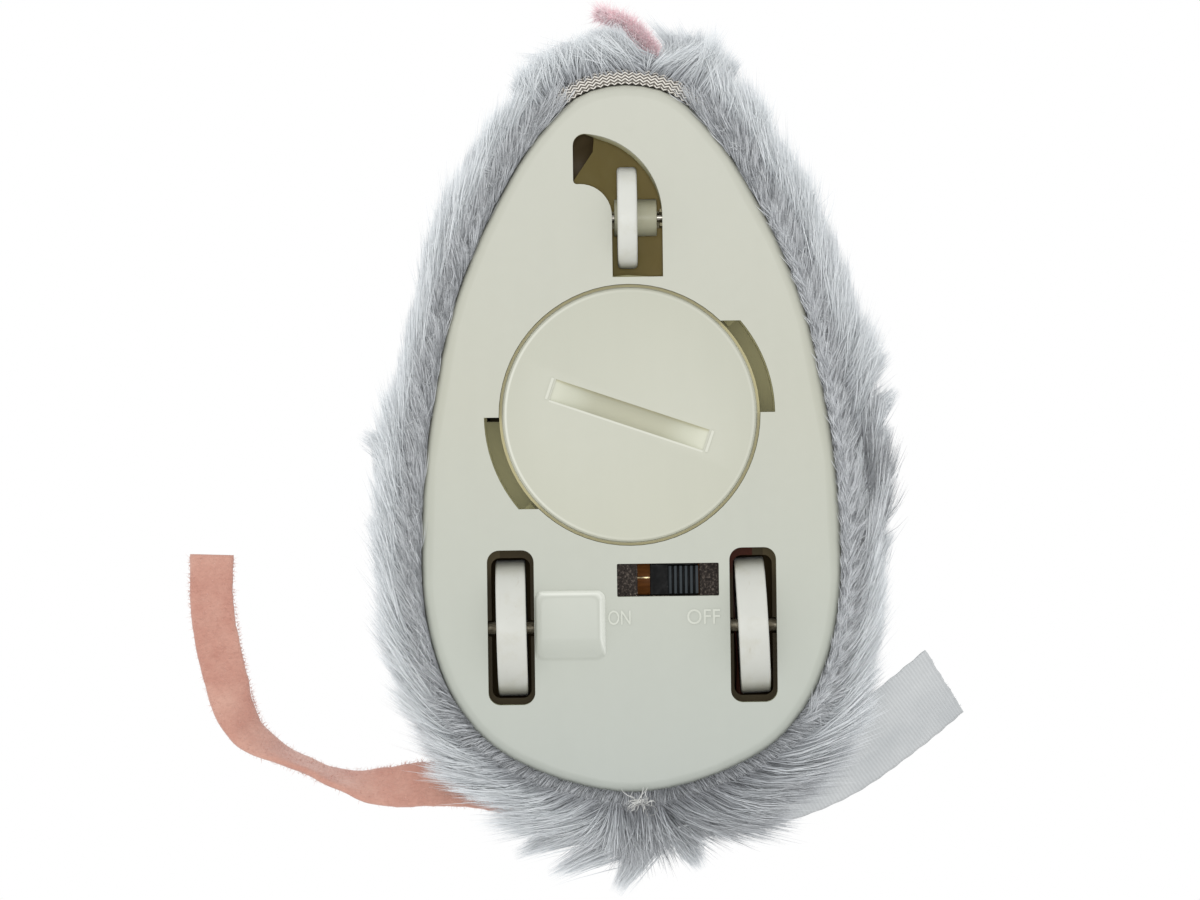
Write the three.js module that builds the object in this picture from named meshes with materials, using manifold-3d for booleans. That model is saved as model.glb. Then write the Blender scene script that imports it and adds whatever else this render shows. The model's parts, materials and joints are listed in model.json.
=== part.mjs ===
// Motorised plush mouse on wheels, as an assembly of separate pieces.
// Millimetres, +Z up. Nose toward -Y, tail end toward +Y, the mouse's left is +X. The origin lies on the
// flat underside of the base plate, on the centre plane, under the rear axle.
import * as THREE from 'three';
import { mergeVertices } from 'three/addons/utils/BufferGeometryUtils.js';
import Module from 'manifold-3d';

const wasm = await Module();
wasm.setup();

// ---------------------------------------------------------------- dimensions
const FLOOR_Z = -2.4;               // the surface the wheels stand on
const GAP = 0.3;                    // clearance kept between neighbouring pieces
const RUN = 0.1;                    // radial clearance of a shaft in its bore

// half-widths of the egg-shaped plate along its length: [y, half width]
const EGG = [
  [-51.1, 0], [-50.5, 3.5], [-49.3, 5.55], [-45.6, 8.95], [-40.4, 12.15], [-35.0, 14.75],
  [-29.2, 16.85], [-19.6, 18.8], [-13.9, 19.5], [-8.3, 19.8], [-2.6, 19.65], [2.5, 18.65],
  [7.2, 16.65], [11.1, 13.4], [13.7, 8.75], [15.2, 4.0], [15.7, 0],
];
const PLATE_T = 1.4;                // thickness of the flat bottom
const RIM_T = 1.3;                  // rim wall thickness
const RIM_TOP = 5.0;                // rim wall height
const BODY_CY = -8.0;               // the dome's highest point lies over this y

const HEM_D = [0.3, 1.3];           // elastic band: inner and outer distance from the plate's outline
const HEM_Z = [0.35, 4.5];
const SKIN_D = 4.0;                 // plush: distance of its widest line from the outline
const SKIN_LOW = 2.2;               // plush: lower edge
const SKIN_TOP = 33.5;
const SKIN_IN_TOP = 29.9;
const HOUSE_LOW = RIM_TOP + GAP;    // dome: lower edge
const HOUSE_TOP = 29.3;
const HOUSE_T = 1.4;

const AXLE_Z = 4.05, AXLE_R = 0.6, AXLE_X = 15.2;
const WHEEL_R = 6.45, WHEEL_X = 11.35, WHEEL_W = 2.8;
const SLOT_X = [9.2, 13.6], SLOT_Y = [-7.4, 7.15], SLOT_R = 1.15;
const WHEEL_LEAN = { rear_wheel_left: -2.5, rear_wheel_right: -0.8 };   // slack of each wheel on the axle, degrees

const MODULE = 0.4, BACKLASH = 0.14, SPREAD = 0.08;
const T_AXLE = 18, T_IDLER_S = 8, T_IDLER_L = 20, T_MOTOR = 8;
const MOTOR_Y = 7.3, MOTOR_Z = 6.8;
const PIN_R = 0.5, SHAFT_R = 0.4, POST_R = 1.15, FRONT_PIN_R = 0.42;

const PIVOT = [-4.42, -38.6];       // caster pivot
const CASTER_ARM = 4.45;            // pivot to the wheel's mid plane
const FRONT_R = 4.8, FRONT_Z = FLOOR_Z + FRONT_R;
const FRONT_SLOT_IN = 3.0, FRONT_SLOT_OUT = 7.75, FRONT_SLOT_LEFT = -5.02, FRONT_SLOT_END = -32.97;
const FRONT_SLOT_Y = -38.75;        // the slot's arcs are centred a little ahead of the pivot

const CAP_Y = -20.0, CAP_R = 12.0, CAP_FLANGE_R = 12.27, CAP_HOLE_R = 12.31;
const CAP_ANGLE = 19;               // coin slot's turn from +X toward +Y, degrees
const LUG_R = 13.3, LUG_HALF = 18, LUG_REST = 25;
const NOTCH_R = 13.7, NOTCH_Y = [-8.75, -0.1];   // notch: outer radius, and its ends from the cap's centre line
const CELL_R = 10.0, CELL_Z = [2.0, 5.2];

const WIN_X = [-1.38, 8.2], WIN_Y = [-6.0, -2.9];
const KNOB_X = [3.45, 6.27], KNOB_Y = [-5.75, -3.15];

// ---------------------------------------------------------------- helpers
const rad = (d) => d * Math.PI / 180;
const basisX = new THREE.Matrix4().makeBasis(
  new THREE.Vector3(0, 1, 0), new THREE.Vector3(0, 0, 1), new THREE.Vector3(1, 0, 0));

function solid(g) {
  g = g.clone();
  g.deleteAttribute('normal');
  g.deleteAttribute('uv');
  g = mergeVertices(g, 1e-5);
  const m = new wasm.Manifold(new wasm.Mesh({
    numProp: 3,
    vertProperties: new Float32Array(g.attributes.position.array),
    triVerts: new Uint32Array(g.index.array),
  }));
  return m;
}
function geometryOf(m) {
  const mesh = m.getMesh();
  const g = new THREE.BufferGeometry();
  g.setAttribute('position', new THREE.BufferAttribute(new Float32Array(mesh.vertProperties), 3));
  g.setIndex(new THREE.BufferAttribute(new Uint32Array(mesh.triVerts), 1));
  g.computeVertexNormals();
  return g;
}
const box = (x0, x1, y0, y1, z0, z1) => solid(
  new THREE.BoxGeometry(x1 - x0, y1 - y0, z1 - z0).translate((x0 + x1) / 2, (y0 + y1) / 2, (z0 + z1) / 2));
const cylZ = (x, y, r, z0, z1, n = 24) => solid(
  new THREE.CylinderGeometry(r, r, z1 - z0, n).rotateX(Math.PI / 2).translate(x, y, (z0 + z1) / 2));
const cylX = (y, z, r, x0, x1, n = 24) => solid(
  new THREE.CylinderGeometry(r, r, x1 - x0, n).rotateZ(-Math.PI / 2).translate((x0 + x1) / 2, y, z));
const prism = (shape, z0, z1, seg = 6) => solid(
  new THREE.ExtrudeGeometry(shape, { depth: z1 - z0, bevelEnabled: false, curveSegments: seg }).translate(0, 0, z0));
const latheX = (profile, n = 28) => // profile: [radius, x] pairs, closed
  solid(new THREE.LatheGeometry([...profile, profile[0]].map(([r, x]) => new THREE.Vector2(r, x)), n).rotateZ(-Math.PI / 2));
const latheZ = (profile, n = 28) => // profile: [radius, z] pairs, closed
  solid(new THREE.LatheGeometry([...profile, profile[0]].map(([r, z]) => new THREE.Vector2(r, z)), n).rotateX(Math.PI / 2));
const join = (...parts) => parts.reduce((a, b) => a.add(b));
const cut = (a, ...parts) => parts.reduce((p, b) => p.subtract(b), a);

function roundRect(x0, x1, y0, y1, r) {
  const s = new THREE.Shape();
  s.moveTo(x0 + r, y0);
  s.lineTo(x1 - r, y0);
  s.absarc(x1 - r, y0 + r, r, -Math.PI / 2, 0);
  s.lineTo(x1, y1 - r);
  s.absarc(x1 - r, y1 - r, r, 0, Math.PI / 2);
  s.lineTo(x0 + r, y1);
  s.absarc(x0 + r, y1 - r, r, Math.PI / 2, Math.PI);
  s.lineTo(x0, y0 + r);
  s.absarc(x0 + r, y0 + r, r, Math.PI, 1.5 * Math.PI);
  return s;
}
function roundRectPoints(x0, x1, y0, y1, r, n = 4) {
  const pts = [];
  for (const [cx, cy, a0] of [[x1 - r, y0 + r, -90], [x1 - r, y1 - r, 0], [x0 + r, y1 - r, 90], [x0 + r, y0 + r, 180]])
    for (let i = 0; i <= n; i++) pts.push([cx + r * Math.cos(rad(a0 + 90 * i / n)), cy + r * Math.sin(rad(a0 + 90 * i / n))]);
  return pts;
}
function sector(cx, cy, r0, r1, a0, a1, n = 12) { // angles in degrees from +X toward +Y
  const pts = [];
  for (let i = 0; i <= n; i++) {
    const a = rad(a0 + (a1 - a0) * i / n);
    pts.push(new THREE.Vector2(cx + r1 * Math.cos(a), cy + r1 * Math.sin(a)));
  }
  for (let i = n; i >= 0; i--) {
    const a = rad(a0 + (a1 - a0) * i / n);
    pts.push(new THREE.Vector2(cx + r0 * Math.cos(a), cy + r0 * Math.sin(a)));
  }
  return new THREE.Shape(pts);
}

// closed solid through a stack of rings with equal point counts; a ring of one point is a tip
function loft(rings) {
  const pos = [], idx = [], start = [];
  for (const ring of rings) {
    start.push(pos.length / 3);
    for (const p of ring) pos.push(...p);
  }
  for (let k = 0; k + 1 < rings.length; k++) {
    const a = start[k], b = start[k + 1], na = rings[k].length, nb = rings[k + 1].length;
    const n = Math.max(na, nb);
    for (let i = 0; i < n; i++) {
      const j = (i + 1) % n;
      if (nb === 1) idx.push(a + i, a + j, b);
      else if (na === 1) idx.push(a, b + j, b + i);
      else idx.push(a + i, a + j, b + j, a + i, b + j, b + i);
    }
  }
  const cap = (ring, at, up) => {
    if (ring.length === 1) return;
    const flat = ring.map(([x, y]) => new THREE.Vector2(x, y));
    for (const [i, j, k] of THREE.ShapeUtils.triangulateShape(flat, []))
      up ? idx.push(at + i, at + j, at + k) : idx.push(at + i, at + k, at + j);
  };
  cap(rings[0], start[0], false);
  cap(rings[rings.length - 1], start[rings.length - 1], true);
  const g = new THREE.BufferGeometry();
  g.setAttribute('position', new THREE.Float32BufferAttribute(pos, 3));
  g.setIndex(idx);
  return solid(g);
}

// ribbon: rectangular section carried along points [x, y, z, roll]; roll turns the width up from flat
function ribbon(points, width, thick, steps) {
  const curve = new THREE.CatmullRomCurve3(points.map((p) => new THREE.Vector3(p[0], p[1], p[2])), false, 'centripetal');
  const rings = [];
  for (let i = 0; i <= steps; i++) {
    const u = i / steps, c = curve.getPoint(u), t = curve.getTangent(u);
    const f = u * (points.length - 1), k = Math.min(points.length - 2, Math.floor(f));
    const roll = rad(points[k][3] + (points[k + 1][3] - points[k][3]) * (f - k));
    const side = new THREE.Vector3(-t.y, t.x, 0).normalize();
    const up = new THREE.Vector3().crossVectors(t, side).normalize();
    const w = side.clone().multiplyScalar(Math.cos(roll)).addScaledVector(up, Math.sin(roll));
    const h = new THREE.Vector3().crossVectors(t, w).normalize();
    rings.push([[1, 1], [-1, 1], [-1, -1], [1, -1]].map(([a, b]) =>
      c.clone().addScaledVector(w, a * width / 2).addScaledVector(h, b * thick / 2)));
  }
  const pos = rings.flat().flatMap((p) => [p.x, p.y, p.z]), idx = [];
  for (let i = 0; i < steps; i++) for (let j = 0; j < 4; j++) {
    const a = 4 * i + j, b = 4 * i + (j + 1) % 4;
    idx.push(a, b + 4, b, a, a + 4, b + 4);
  }
  idx.push(0, 1, 2, 0, 2, 3);
  const e = 4 * steps;
  idx.push(e, e + 2, e + 1, e, e + 3, e + 2);
  const g = new THREE.BufferGeometry();
  g.setAttribute('position', new THREE.Float32BufferAttribute(pos, 3));
  g.setIndex(idx);
  const m = solid(g);
  return m.volume() > 0 ? m : solid(g.clone().setIndex(idx.map((v, i) => idx[i - i % 3 + (2 - i % 3)])));
}

// wire: round section along a curve
function wire(points, r, steps) {
  const curve = new THREE.CatmullRomCurve3(points.map((p) => new THREE.Vector3(...p)), false, 'centripetal');
  const s = new THREE.Shape();
  for (let i = 0; i < 6; i++) {
    const a = i * Math.PI / 3;
    i ? s.lineTo(r * Math.cos(a), r * Math.sin(a)) : s.moveTo(r, 0);
  }
  s.closePath();
  return solid(new THREE.ExtrudeGeometry(s, { steps, extrudePath: curve, bevelEnabled: false, curveSegments: 1 }));
}

// ---------------------------------------------------------------- the egg outline and the dome
function eggOutline(n) {
  const half = new THREE.CatmullRomCurve3([
    ...EGG.map(([y, w]) => new THREE.Vector3(w, y, 0)),
    ...EGG.slice(1, -1).reverse().map(([y, w]) => new THREE.Vector3(-w, y, 0)),
  ], true, 'centripetal');
  const right = half.getPoints(1600).filter((p) => p.x >= 0).sort((a, b) => a.y - b.y);
  const len = [0];
  for (let i = 1; i < right.length; i++) len.push(len[i - 1] + right[i].distanceTo(right[i - 1]));
  const at = (s) => {
    let i = 1;
    while (i < len.length - 1 && len[i] < s) i++;
    const f = (s - len[i - 1]) / (len[i] - len[i - 1] || 1);
    return right[i - 1].clone().lerp(right[i], Math.max(0, Math.min(1, f)));
  };
  const total = len[len.length - 1], m = n / 2, side = [];
  for (let i = 0; i <= m; i++) {
    const p = at(total * i / m);
    if (i === 0 || i === m) p.x = 0;
    side.push([p.x, p.y]);
  }
  return [...side, ...side.slice(1, -1).reverse().map(([x, y]) => [-x, y])]; // counterclockwise from the nose
}
function offsetOutline(pts, d) {
  const n = pts.length;
  return pts.map(([x, y], i) => {
    const a = pts[(i + n - 1) % n], b = pts[(i + 1) % n];
    let tx = b[0] - a[0], ty = b[1] - a[1];
    const l = Math.hypot(tx, ty);
    tx /= l; ty /= l;
    return [x + ty * d, y - tx * d];
  });
}
const EGG_FINE = eggOutline(104), EGG_HEM = eggOutline(52), EGG_COARSE = eggOutline(36);
const flatRing = (pts, z) => pts.map(([x, y]) => [x, y, z]);
const stack = (pts, levels) => loft(levels.map(([z, d]) => flatRing(offsetOutline(pts, d), z)));

// dome rings over an outline; blunt at the rear, more pointed toward the nose
const DOME_R = [1, 0.985, 0.94, 0.85, 0.7, 0.5, 0.26];
function domeRings(d, z0, top, radii = DOME_R) {
  const pts = offsetOutline(EGG_COARSE, d);
  const ring = (r) => pts.map(([x, y]) => {
    const vx = x, vy = y - BODY_CY, l = Math.hypot(vx, vy);
    const nose = Math.max(0, -vy / l) ** 2, rear = Math.max(0, vy / l) ** 2;
    const n = 2.2 - 0.4 * nose + 0.3 * rear, m = 2.2 - 0.6 * nose + 0.3 * rear;
    return [vx * r, BODY_CY + vy * r, z0 + (top - z0) * (1 - r ** n) ** (1 / m)];
  });
  return [...radii.map(ring), [[0, BODY_CY, top]]];
}
function skinOuter(grow = 0) {
  return loft([
    flatRing(offsetOutline(EGG_COARSE, 2.3 + grow), SKIN_LOW - grow),
    flatRing(offsetOutline(EGG_COARSE, 3.4 + grow), 3.5),
    ...domeRings(SKIN_D + grow, 6.5, SKIN_TOP + grow),
  ]);
}

// ---------------------------------------------------------------- gears
const involute = (a) => Math.tan(a) - a;
function gear(teeth, x0, x1, phase) { // gear along X about its own axis; phase in radians from +Y toward +Z
  const PA = rad(20), small = teeth < 12;
  const rp = teeth * MODULE / 2, rb = rp * Math.cos(PA);
  const ra = rp + (small ? 0.9 : 0.85) * MODULE, rr = rp - (small ? 1.25 : 1.2) * MODULE;
  const half = (r) => (Math.PI * MODULE / 2 - BACKLASH) / (2 * rp) + involute(PA)
    - involute(Math.acos(Math.min(1, rb / Math.max(r, rb))));
  const flank = [[rr, half(Math.max(rb, rr)) * (small ? 0.8 : 1)], [rp, half(rp)], [ra, half(ra)]];
  const pts = [];
  for (let k = 0; k < teeth; k++) {
    const c = phase + k * 2 * Math.PI / teeth;
    for (const [r, h] of flank) pts.push(new THREE.Vector2(r * Math.cos(c - h), r * Math.sin(c - h)));
    for (const [r, h] of flank.slice().reverse()) pts.push(new THREE.Vector2(r * Math.cos(c + h), r * Math.sin(c + h)));
  }
  return solid(new THREE.ExtrudeGeometry(new THREE.Shape(pts), { depth: x1 - x0, bevelEnabled: false })
    .translate(0, 0, x0).applyMatrix4(basisX));
}
// phase of a gear that meshes with another one lying in direction psi from it
const mesh = (phaseA, nA, nB, psi) => psi + Math.PI - (phaseA - psi) * nA / nB + Math.PI / nB;

const C_LOW = (T_AXLE + T_IDLER_S) * MODULE / 2 + SPREAD;
const C_HIGH = (T_IDLER_L + T_MOTOR) * MODULE / 2 + SPREAD;
const dY = MOTOR_Y, dZ = MOTOR_Z - AXLE_Z, dist = Math.hypot(dY, dZ);
const along = (C_LOW ** 2 - C_HIGH ** 2 + dist ** 2) / (2 * dist), off = Math.sqrt(C_LOW ** 2 - along ** 2);
const IDLER_Y = (dY * along - dZ * off) / dist, IDLER_Z = AXLE_Z + (dZ * along + dY * off) / dist;
const psiLow = Math.atan2(IDLER_Z - AXLE_Z, IDLER_Y);
const psiHigh = Math.atan2(MOTOR_Z - IDLER_Z, MOTOR_Y - IDLER_Y);
const PHASE_AXLE = 0;
const PHASE_IDLER = mesh(PHASE_AXLE, T_AXLE, T_IDLER_S, psiLow);
const PHASE_MOTOR = mesh(PHASE_IDLER, T_IDLER_L, T_MOTOR, psiHigh);

// ---------------------------------------------------------------- finishes
const finish = (color, roughness, metalness = 0) => new THREE.MeshStandardMaterial({ color, roughness, metalness });
const IVORY = finish(0xd2d2c4, 0.45), WHITE = finish(0xe0e0da, 0.4), BROWN = finish(0x4a4032, 0.6);
const STEEL = finish(0xa8a8a6, 0.35, 1), BLACK = finish(0x101010, 0.5), NYLON = finish(0xe6e2d2, 0.5);
const FUR = finish(0x9a9ea2, 1), KNIT = finish(0xc9c2b2, 1), PINK = finish(0xd9c0c3, 1), FELT = finish(0xc58d7e, 1);
const SATIN = finish(0xb9bdbe, 0.6), PHENOLIC = finish(0x3a2412, 0.7), GREEN = finish(0x2e5a3a, 0.5);
const BRASS = finish(0xc2a45a, 0.35, 1), RED = finish(0xb02a22, 0.5), EYE = finish(0x0a0a0a, 0.15);

const toy = new THREE.Group();
const group = (x, y, z) => {
  const g = new THREE.Group();
  g.position.set(x, y, z);
  toy.add(g);
  return g;
};
function put(parent, name, body, material) {
  const m = new THREE.Mesh(geometryOf(body), material);
  m.name = name;
  parent.add(m);
}
const chassis = group(0, 0, 0);

// ---------------------------------------------------------------- base plate
function frontSlot(z, slope) { // ring of points at height z; slope draws the outer wall inward
  const px = PIVOT[0], py = FRONT_SLOT_Y, R = FRONT_SLOT_OUT, r = FRONT_SLOT_IN, edge = FRONT_SLOT_LEFT - px, pts = [];
  const arc = (cx, cy, rr, a0, a1, n) => {
    for (let i = 0; i <= n; i++) {
      const a = rad(a0 + (a1 - a0) * i / n), q = typeof rr === 'function' ? rr(i / n) : rr;
      pts.push([px + cx + q * Math.cos(a), py + cy + q * Math.sin(a), z]);
    }
  };
  const deg = (y, x) => Math.atan2(y, x) * 180 / Math.PI;
  const f = 1.1, g = 0.35;         // corner radii at the slot's left end
  const ox = edge + f, oy = -Math.sqrt((R - f) ** 2 - ox ** 2), ix = edge + g, iy = -Math.sqrt((r + g) ** 2 - ix ** 2);
  pts.push([px + r, FRONT_SLOT_END, z], [px + R, FRONT_SLOT_END, z]);
  arc(0, 0, (t) => R - slope * Math.min(1, 2.2 * t, 9 * (1 - t)), 0, deg(oy, ox), 20);
  arc(ox, oy, f, deg(oy, ox) - 12, -180, 5);
  arc(ix, iy, g, 180, 180 + deg(iy, ix), 3);
  arc(0, 0, r, deg(iy, ix) + 4, 0, 10);
  return pts.reverse();
}
const CEIL = [6.05, 6.85];          // battery well ceiling
const WALL_X = [[-9.05, -8.25], [-3.05, -2.25]];  // gear walls
const WALL_TOP = 13.4;
const POSTS = [[-5.65, -4.7], [-7.0, 8.9]];     // gearbox screw posts
const BOARD_POSTS = [[-6.5, -24.5], [6.5, -15.5]];

let base = stack(EGG_FINE, [[0, -1.15], [0.12, -0.62], [0.42, -0.2], [0.95, 0], [RIM_TOP, 0]]);
base = cut(base, stack(EGG_FINE, [[PLATE_T, -RIM_T], [RIM_TOP + 1, -RIM_T]]));
// blister over the axle gear: crisp toward the nose, sinking into the plate toward the tail
const sink = (y) => 0.85 - 0.62 * Math.min(1, Math.max(0, (y - 0.9) / 1.9));
const blister = wasm.Manifold.hull([[1, 0.62], [0.95, 0.36], [0.8, 0.14], [0.5, 0]].flatMap(([k, inset]) =>
  [...roundRectPoints(-9.05 + inset, -2.75 - inset, -3.4 + inset, 2.8 - inset, 0.7), [-9.05 + inset, 0.9], [-2.75 - inset, 0.9]]
    .map(([x, y]) => [x, y, -k * sink(y)])).concat(flatRing(roundRectPoints(-9.15, -2.5, -3.55, 3.1, 0.8), 0.02), flatRing(roundRectPoints(-9.15, -2.5, -3.55, 3.1, 0.8), 0.5)));
base = join(base, blister);
// battery well and its lug channels
const notch = (t) => {
  const s = t ? -1 : 1, ys = NOTCH_Y.map((y) => CAP_Y + s * y).sort((a, b) => a - b);
  return prism(sector(0, CAP_Y, 10, NOTCH_R, t - 60, t + 20, 24), -1, PLATE_T + 0.05)
    .intersect(box(Math.min(0, s * 20), Math.max(0, s * 20), ys[0], ys[1], -2, 3));
};
base = join(base, cylZ(0, CAP_Y, 13.2, PLATE_T - 0.2, CEIL[1], 36),
  ...[LUG_REST, LUG_REST + 180].map((a) =>
    prism(sector(0, CAP_Y, 11, 14.6, a - 68, a + 22), PLATE_T - 0.2, 3.8)));
base = cut(base, cylZ(0, CAP_Y, CAP_HOLE_R, -1, 0.4, 72), cylZ(0, CAP_Y, CAP_HOLE_R + 0.2, 0.3, 3.0, 48), cylZ(0, CAP_Y, CELL_R + 0.4, 2.9, CEIL[0], 28),
  ...[0, 180].flatMap((t) => [
    prism(sector(0, CAP_Y, 11, LUG_R + 0.3, t + LUG_REST - 66, t + LUG_REST + 20), PLATE_T, 3.0),
    notch(t),
  ]),
  box(-13.4, -12.15, CAP_Y + 0.1, CAP_Y + 0.42, 2.9, 5.5),
  box(-2.1, 2.1, CAP_Y - 11.1, CAP_Y - 9.9, 2.95, 8),
  box(-2.2, 2.2, CAP_Y + 3.4, CAP_Y + 4.5, 5.9, 8));
// axle saddles, gear walls, screw posts, motor cradles
const saddle = (x0, x1) => box(x0, x1, -1.7, 1.7, PLATE_T - 0.2, 5.2);
base = join(base, saddle(-15.5, -14.1), saddle(14.1, 15.5), saddle(7.4, 8.8),
  box(WALL_X[0][0], WALL_X[0][1], -2.4, 4.4, PLATE_T - 0.2, WALL_TOP),
  box(WALL_X[1][0], WALL_X[1][1], -2.4, 9.8, PLATE_T - 0.2, WALL_TOP),
  ...POSTS.map(([x, y]) => cylZ(x, y, 1.4, PLATE_T - 0.2, WALL_TOP, 16)),
  box(-0.6, 0.6, MOTOR_Y - 4, MOTOR_Y + 4, PLATE_T - 0.2, 4.0),
  box(4.2, 5.4, MOTOR_Y - 4, MOTOR_Y + 4, PLATE_T - 0.2, 4.0),
  cylZ(PIVOT[0], PIVOT[1], POST_R, PLATE_T - 0.2, 8.5, 20),
  ...BOARD_POSTS.map(([x, y]) => cylZ(x, y, 1.4, CEIL[1] - 0.2, 8.3, 16)));
// lip round each wheel slot, set deeper than the plate, left open where the axle crosses
const well = (a, b) => cut(
  prism(roundRect(a - 0.3, b + 0.3, SLOT_Y[0] - 0.3, SLOT_Y[1] + 0.3, SLOT_R + 0.3), PLATE_T - 0.2, 2.6, 4),
  prism(roundRect(a + 0.36, b - 0.36, SLOT_Y[0] + 0.75, SLOT_Y[1] - 0.6, 0.8), 0, 3, 4),
  prism(roundRect(a, b, SLOT_Y[0], SLOT_Y[1], SLOT_R), 0, 1.9, 4), box(a - 1, b + 1, -0.75, 0.75, PLATE_T + 0.05, 3));
base = join(base, well(-SLOT_X[1], -SLOT_X[0]), well(SLOT_X[0], SLOT_X[1]));
base = cut(base,
  // wheel slots, caster slot, switch window
  prism(roundRect(-SLOT_X[1], -SLOT_X[0], SLOT_Y[0], SLOT_Y[1], SLOT_R), -3, PLATE_T + 0.01, 4),
  prism(roundRect(SLOT_X[0], SLOT_X[1], SLOT_Y[0], SLOT_Y[1], SLOT_R), -3, PLATE_T + 0.01, 4),
  loft([frontSlot(-3, 0), frontSlot(0.1, 0), frontSlot(PLATE_T + 0.01, 0.3)]),
  prism(roundRect(WIN_X[0], WIN_X[1], WIN_Y[0], WIN_Y[1], 0.12), -3, PLATE_T + 0.01, 2),
  // gear pocket
  cylX(0, AXLE_Z, 4.35, -8.2, -4.5, 32), cylX(IDLER_Y, IDLER_Z, 4.75, -4.8, -3.06, 32),
  // axle slots open to the top, idler pin slots, motor nose slot
  ...[[-16, -14], [14, 16], [7, 9], [-9.3, -8.1], [-3.2, -2.1]].map(([a, b]) =>
    join(cylX(0, AXLE_Z, AXLE_R + RUN, a, b, 16), box(a, b, -AXLE_R - RUN, AXLE_R + RUN, AXLE_Z, 20))),
  ...[[-9.3, -8.1], [-3.2, -2.1]].map(([a, b]) =>
    join(cylX(IDLER_Y, IDLER_Z, PIN_R + RUN, a, b, 12), box(a, b, IDLER_Y - PIN_R - RUN, IDLER_Y + PIN_R + RUN, IDLER_Z, 20))),
  join(cylX(MOTOR_Y, MOTOR_Z, 1.5, -3.2, -2.1, 16), box(-3.2, -2.1, MOTOR_Y - 1.5, MOTOR_Y + 1.5, MOTOR_Z, 20)),
  cylX(MOTOR_Y, MOTOR_Z, 5.3, -1.99, 7.5, 28),
  ...POSTS.map(([x, y]) => cylZ(x, y, 0.75, 7.6, 20, 12)),
  cylZ(PIVOT[0], PIVOT[1], 0.6, 4.2, 20, 12),
  ...BOARD_POSTS.map(([x, y]) => cylZ(x, y, 0.6, CEIL[1] + 0.0, 20, 12)));
put(chassis, 'base_plate', base, IVORY);

// ---------------------------------------------------------------- top housing, plush, trim
const HOUSE_R = [1, 0.97, 0.88, 0.68, 0.36];
let housing = loft(domeRings(0, HOUSE_LOW, HOUSE_TOP, HOUSE_R));
housing = cut(housing, loft([flatRing(offsetOutline(EGG_COARSE, -HOUSE_T), HOUSE_LOW - 1),
  ...domeRings(-HOUSE_T, HOUSE_LOW, HOUSE_TOP - HOUSE_T, HOUSE_R)]));
const lip = cut(stack(EGG_COARSE, [[3.6, -1.65], [HOUSE_LOW + 0.2, -1.65]]), stack(EGG_COARSE, [[3, -2.35], [7, -2.35]]));
const ledge = cut(stack(EGG_COARSE, [[HOUSE_LOW, -0.9], [6.0, -0.9]]), stack(EGG_COARSE, [[3, -2.35], [7, -2.35]]));
const rib = box(-7.0, -2.2, -46.6, -41.2, 9.9, 16).intersect(loft(domeRings(-0.3, HOUSE_LOW, HOUSE_TOP - 0.3, HOUSE_R)));
housing = cut(join(housing, lip, ledge, rib), box(0.6, 7.6, 11.3, 13.6, 3, 6.1)); // relief behind the motor
put(chassis, 'top_housing', housing, BROWN);

const skin = cut(skinOuter(), loft([
  flatRing(offsetOutline(EGG_COARSE, 1.8), SKIN_LOW - 1),
  ...domeRings(1.8, HOUSE_LOW, SKIN_IN_TOP)]));
put(chassis, 'plush_skin', skin, FUR);

const hem = cut(stack(EGG_HEM, [[HEM_Z[0], HEM_D[1] - 0.25], [HEM_Z[0] + 0.3, HEM_D[1]], [HEM_Z[1], HEM_D[1]]]),
  stack(EGG_HEM, [[HEM_Z[0] - 1, HEM_D[0]], [HEM_Z[1] + 1, HEM_D[0]]]));
put(chassis, 'elastic_hem', hem, KNIT);

const around = skinOuter(GAP);
// ears: rounded leaves, cupped forward, standing on the head
for (const [name, s] of [['ear_left', 1], ['ear_right', -1]]) {
  const shape = new THREE.Shape();
  shape.moveTo(-4.2, -4);
  shape.lineTo(4.2, -4);
  shape.bezierCurveTo(8.2, 1.5, 6.2, 9.6, 0, 9.6);
  shape.bezierCurveTo(-6.2, 9.6, -8.2, 1.5, -4.2, -4);
  const g = new THREE.ExtrudeGeometry(shape, { depth: 1.8, bevelEnabled: false, curveSegments: 8 });
  g.translate(0, 0, -0.9).rotateX(Math.PI / 2).rotateX(rad(14)).rotateY(rad(s * 30)).rotateZ(rad(s * -18));
  g.translate(s * 10.2, -27.5, 27.0);
  put(chassis, name, cut(solid(g), around), FUR);
}
for (const [name, s] of [['eye_left', 1], ['eye_right', -1]]) {
  const g = new THREE.SphereGeometry(2.3, 16, 10).rotateX(Math.PI / 2).translate(s * 10.4, -43.0, 15.4);
  put(chassis, name, cut(solid(g), around), EYE);
}
// nose tab: a soft tongue out of the front seam, bent to one side
put(chassis, 'nose_tab', cut(ribbon([
  [2.9, -53.2, 8.6, 90], [2.2, -55.2, 8.5, 90], [0.9, -56.8, 8.3, 90], [-0.9, -57.9, 8.1, 90], [-2.9, -58.5, 7.9, 90],
], 4.6, 2.1, 10), around), PINK);

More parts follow.
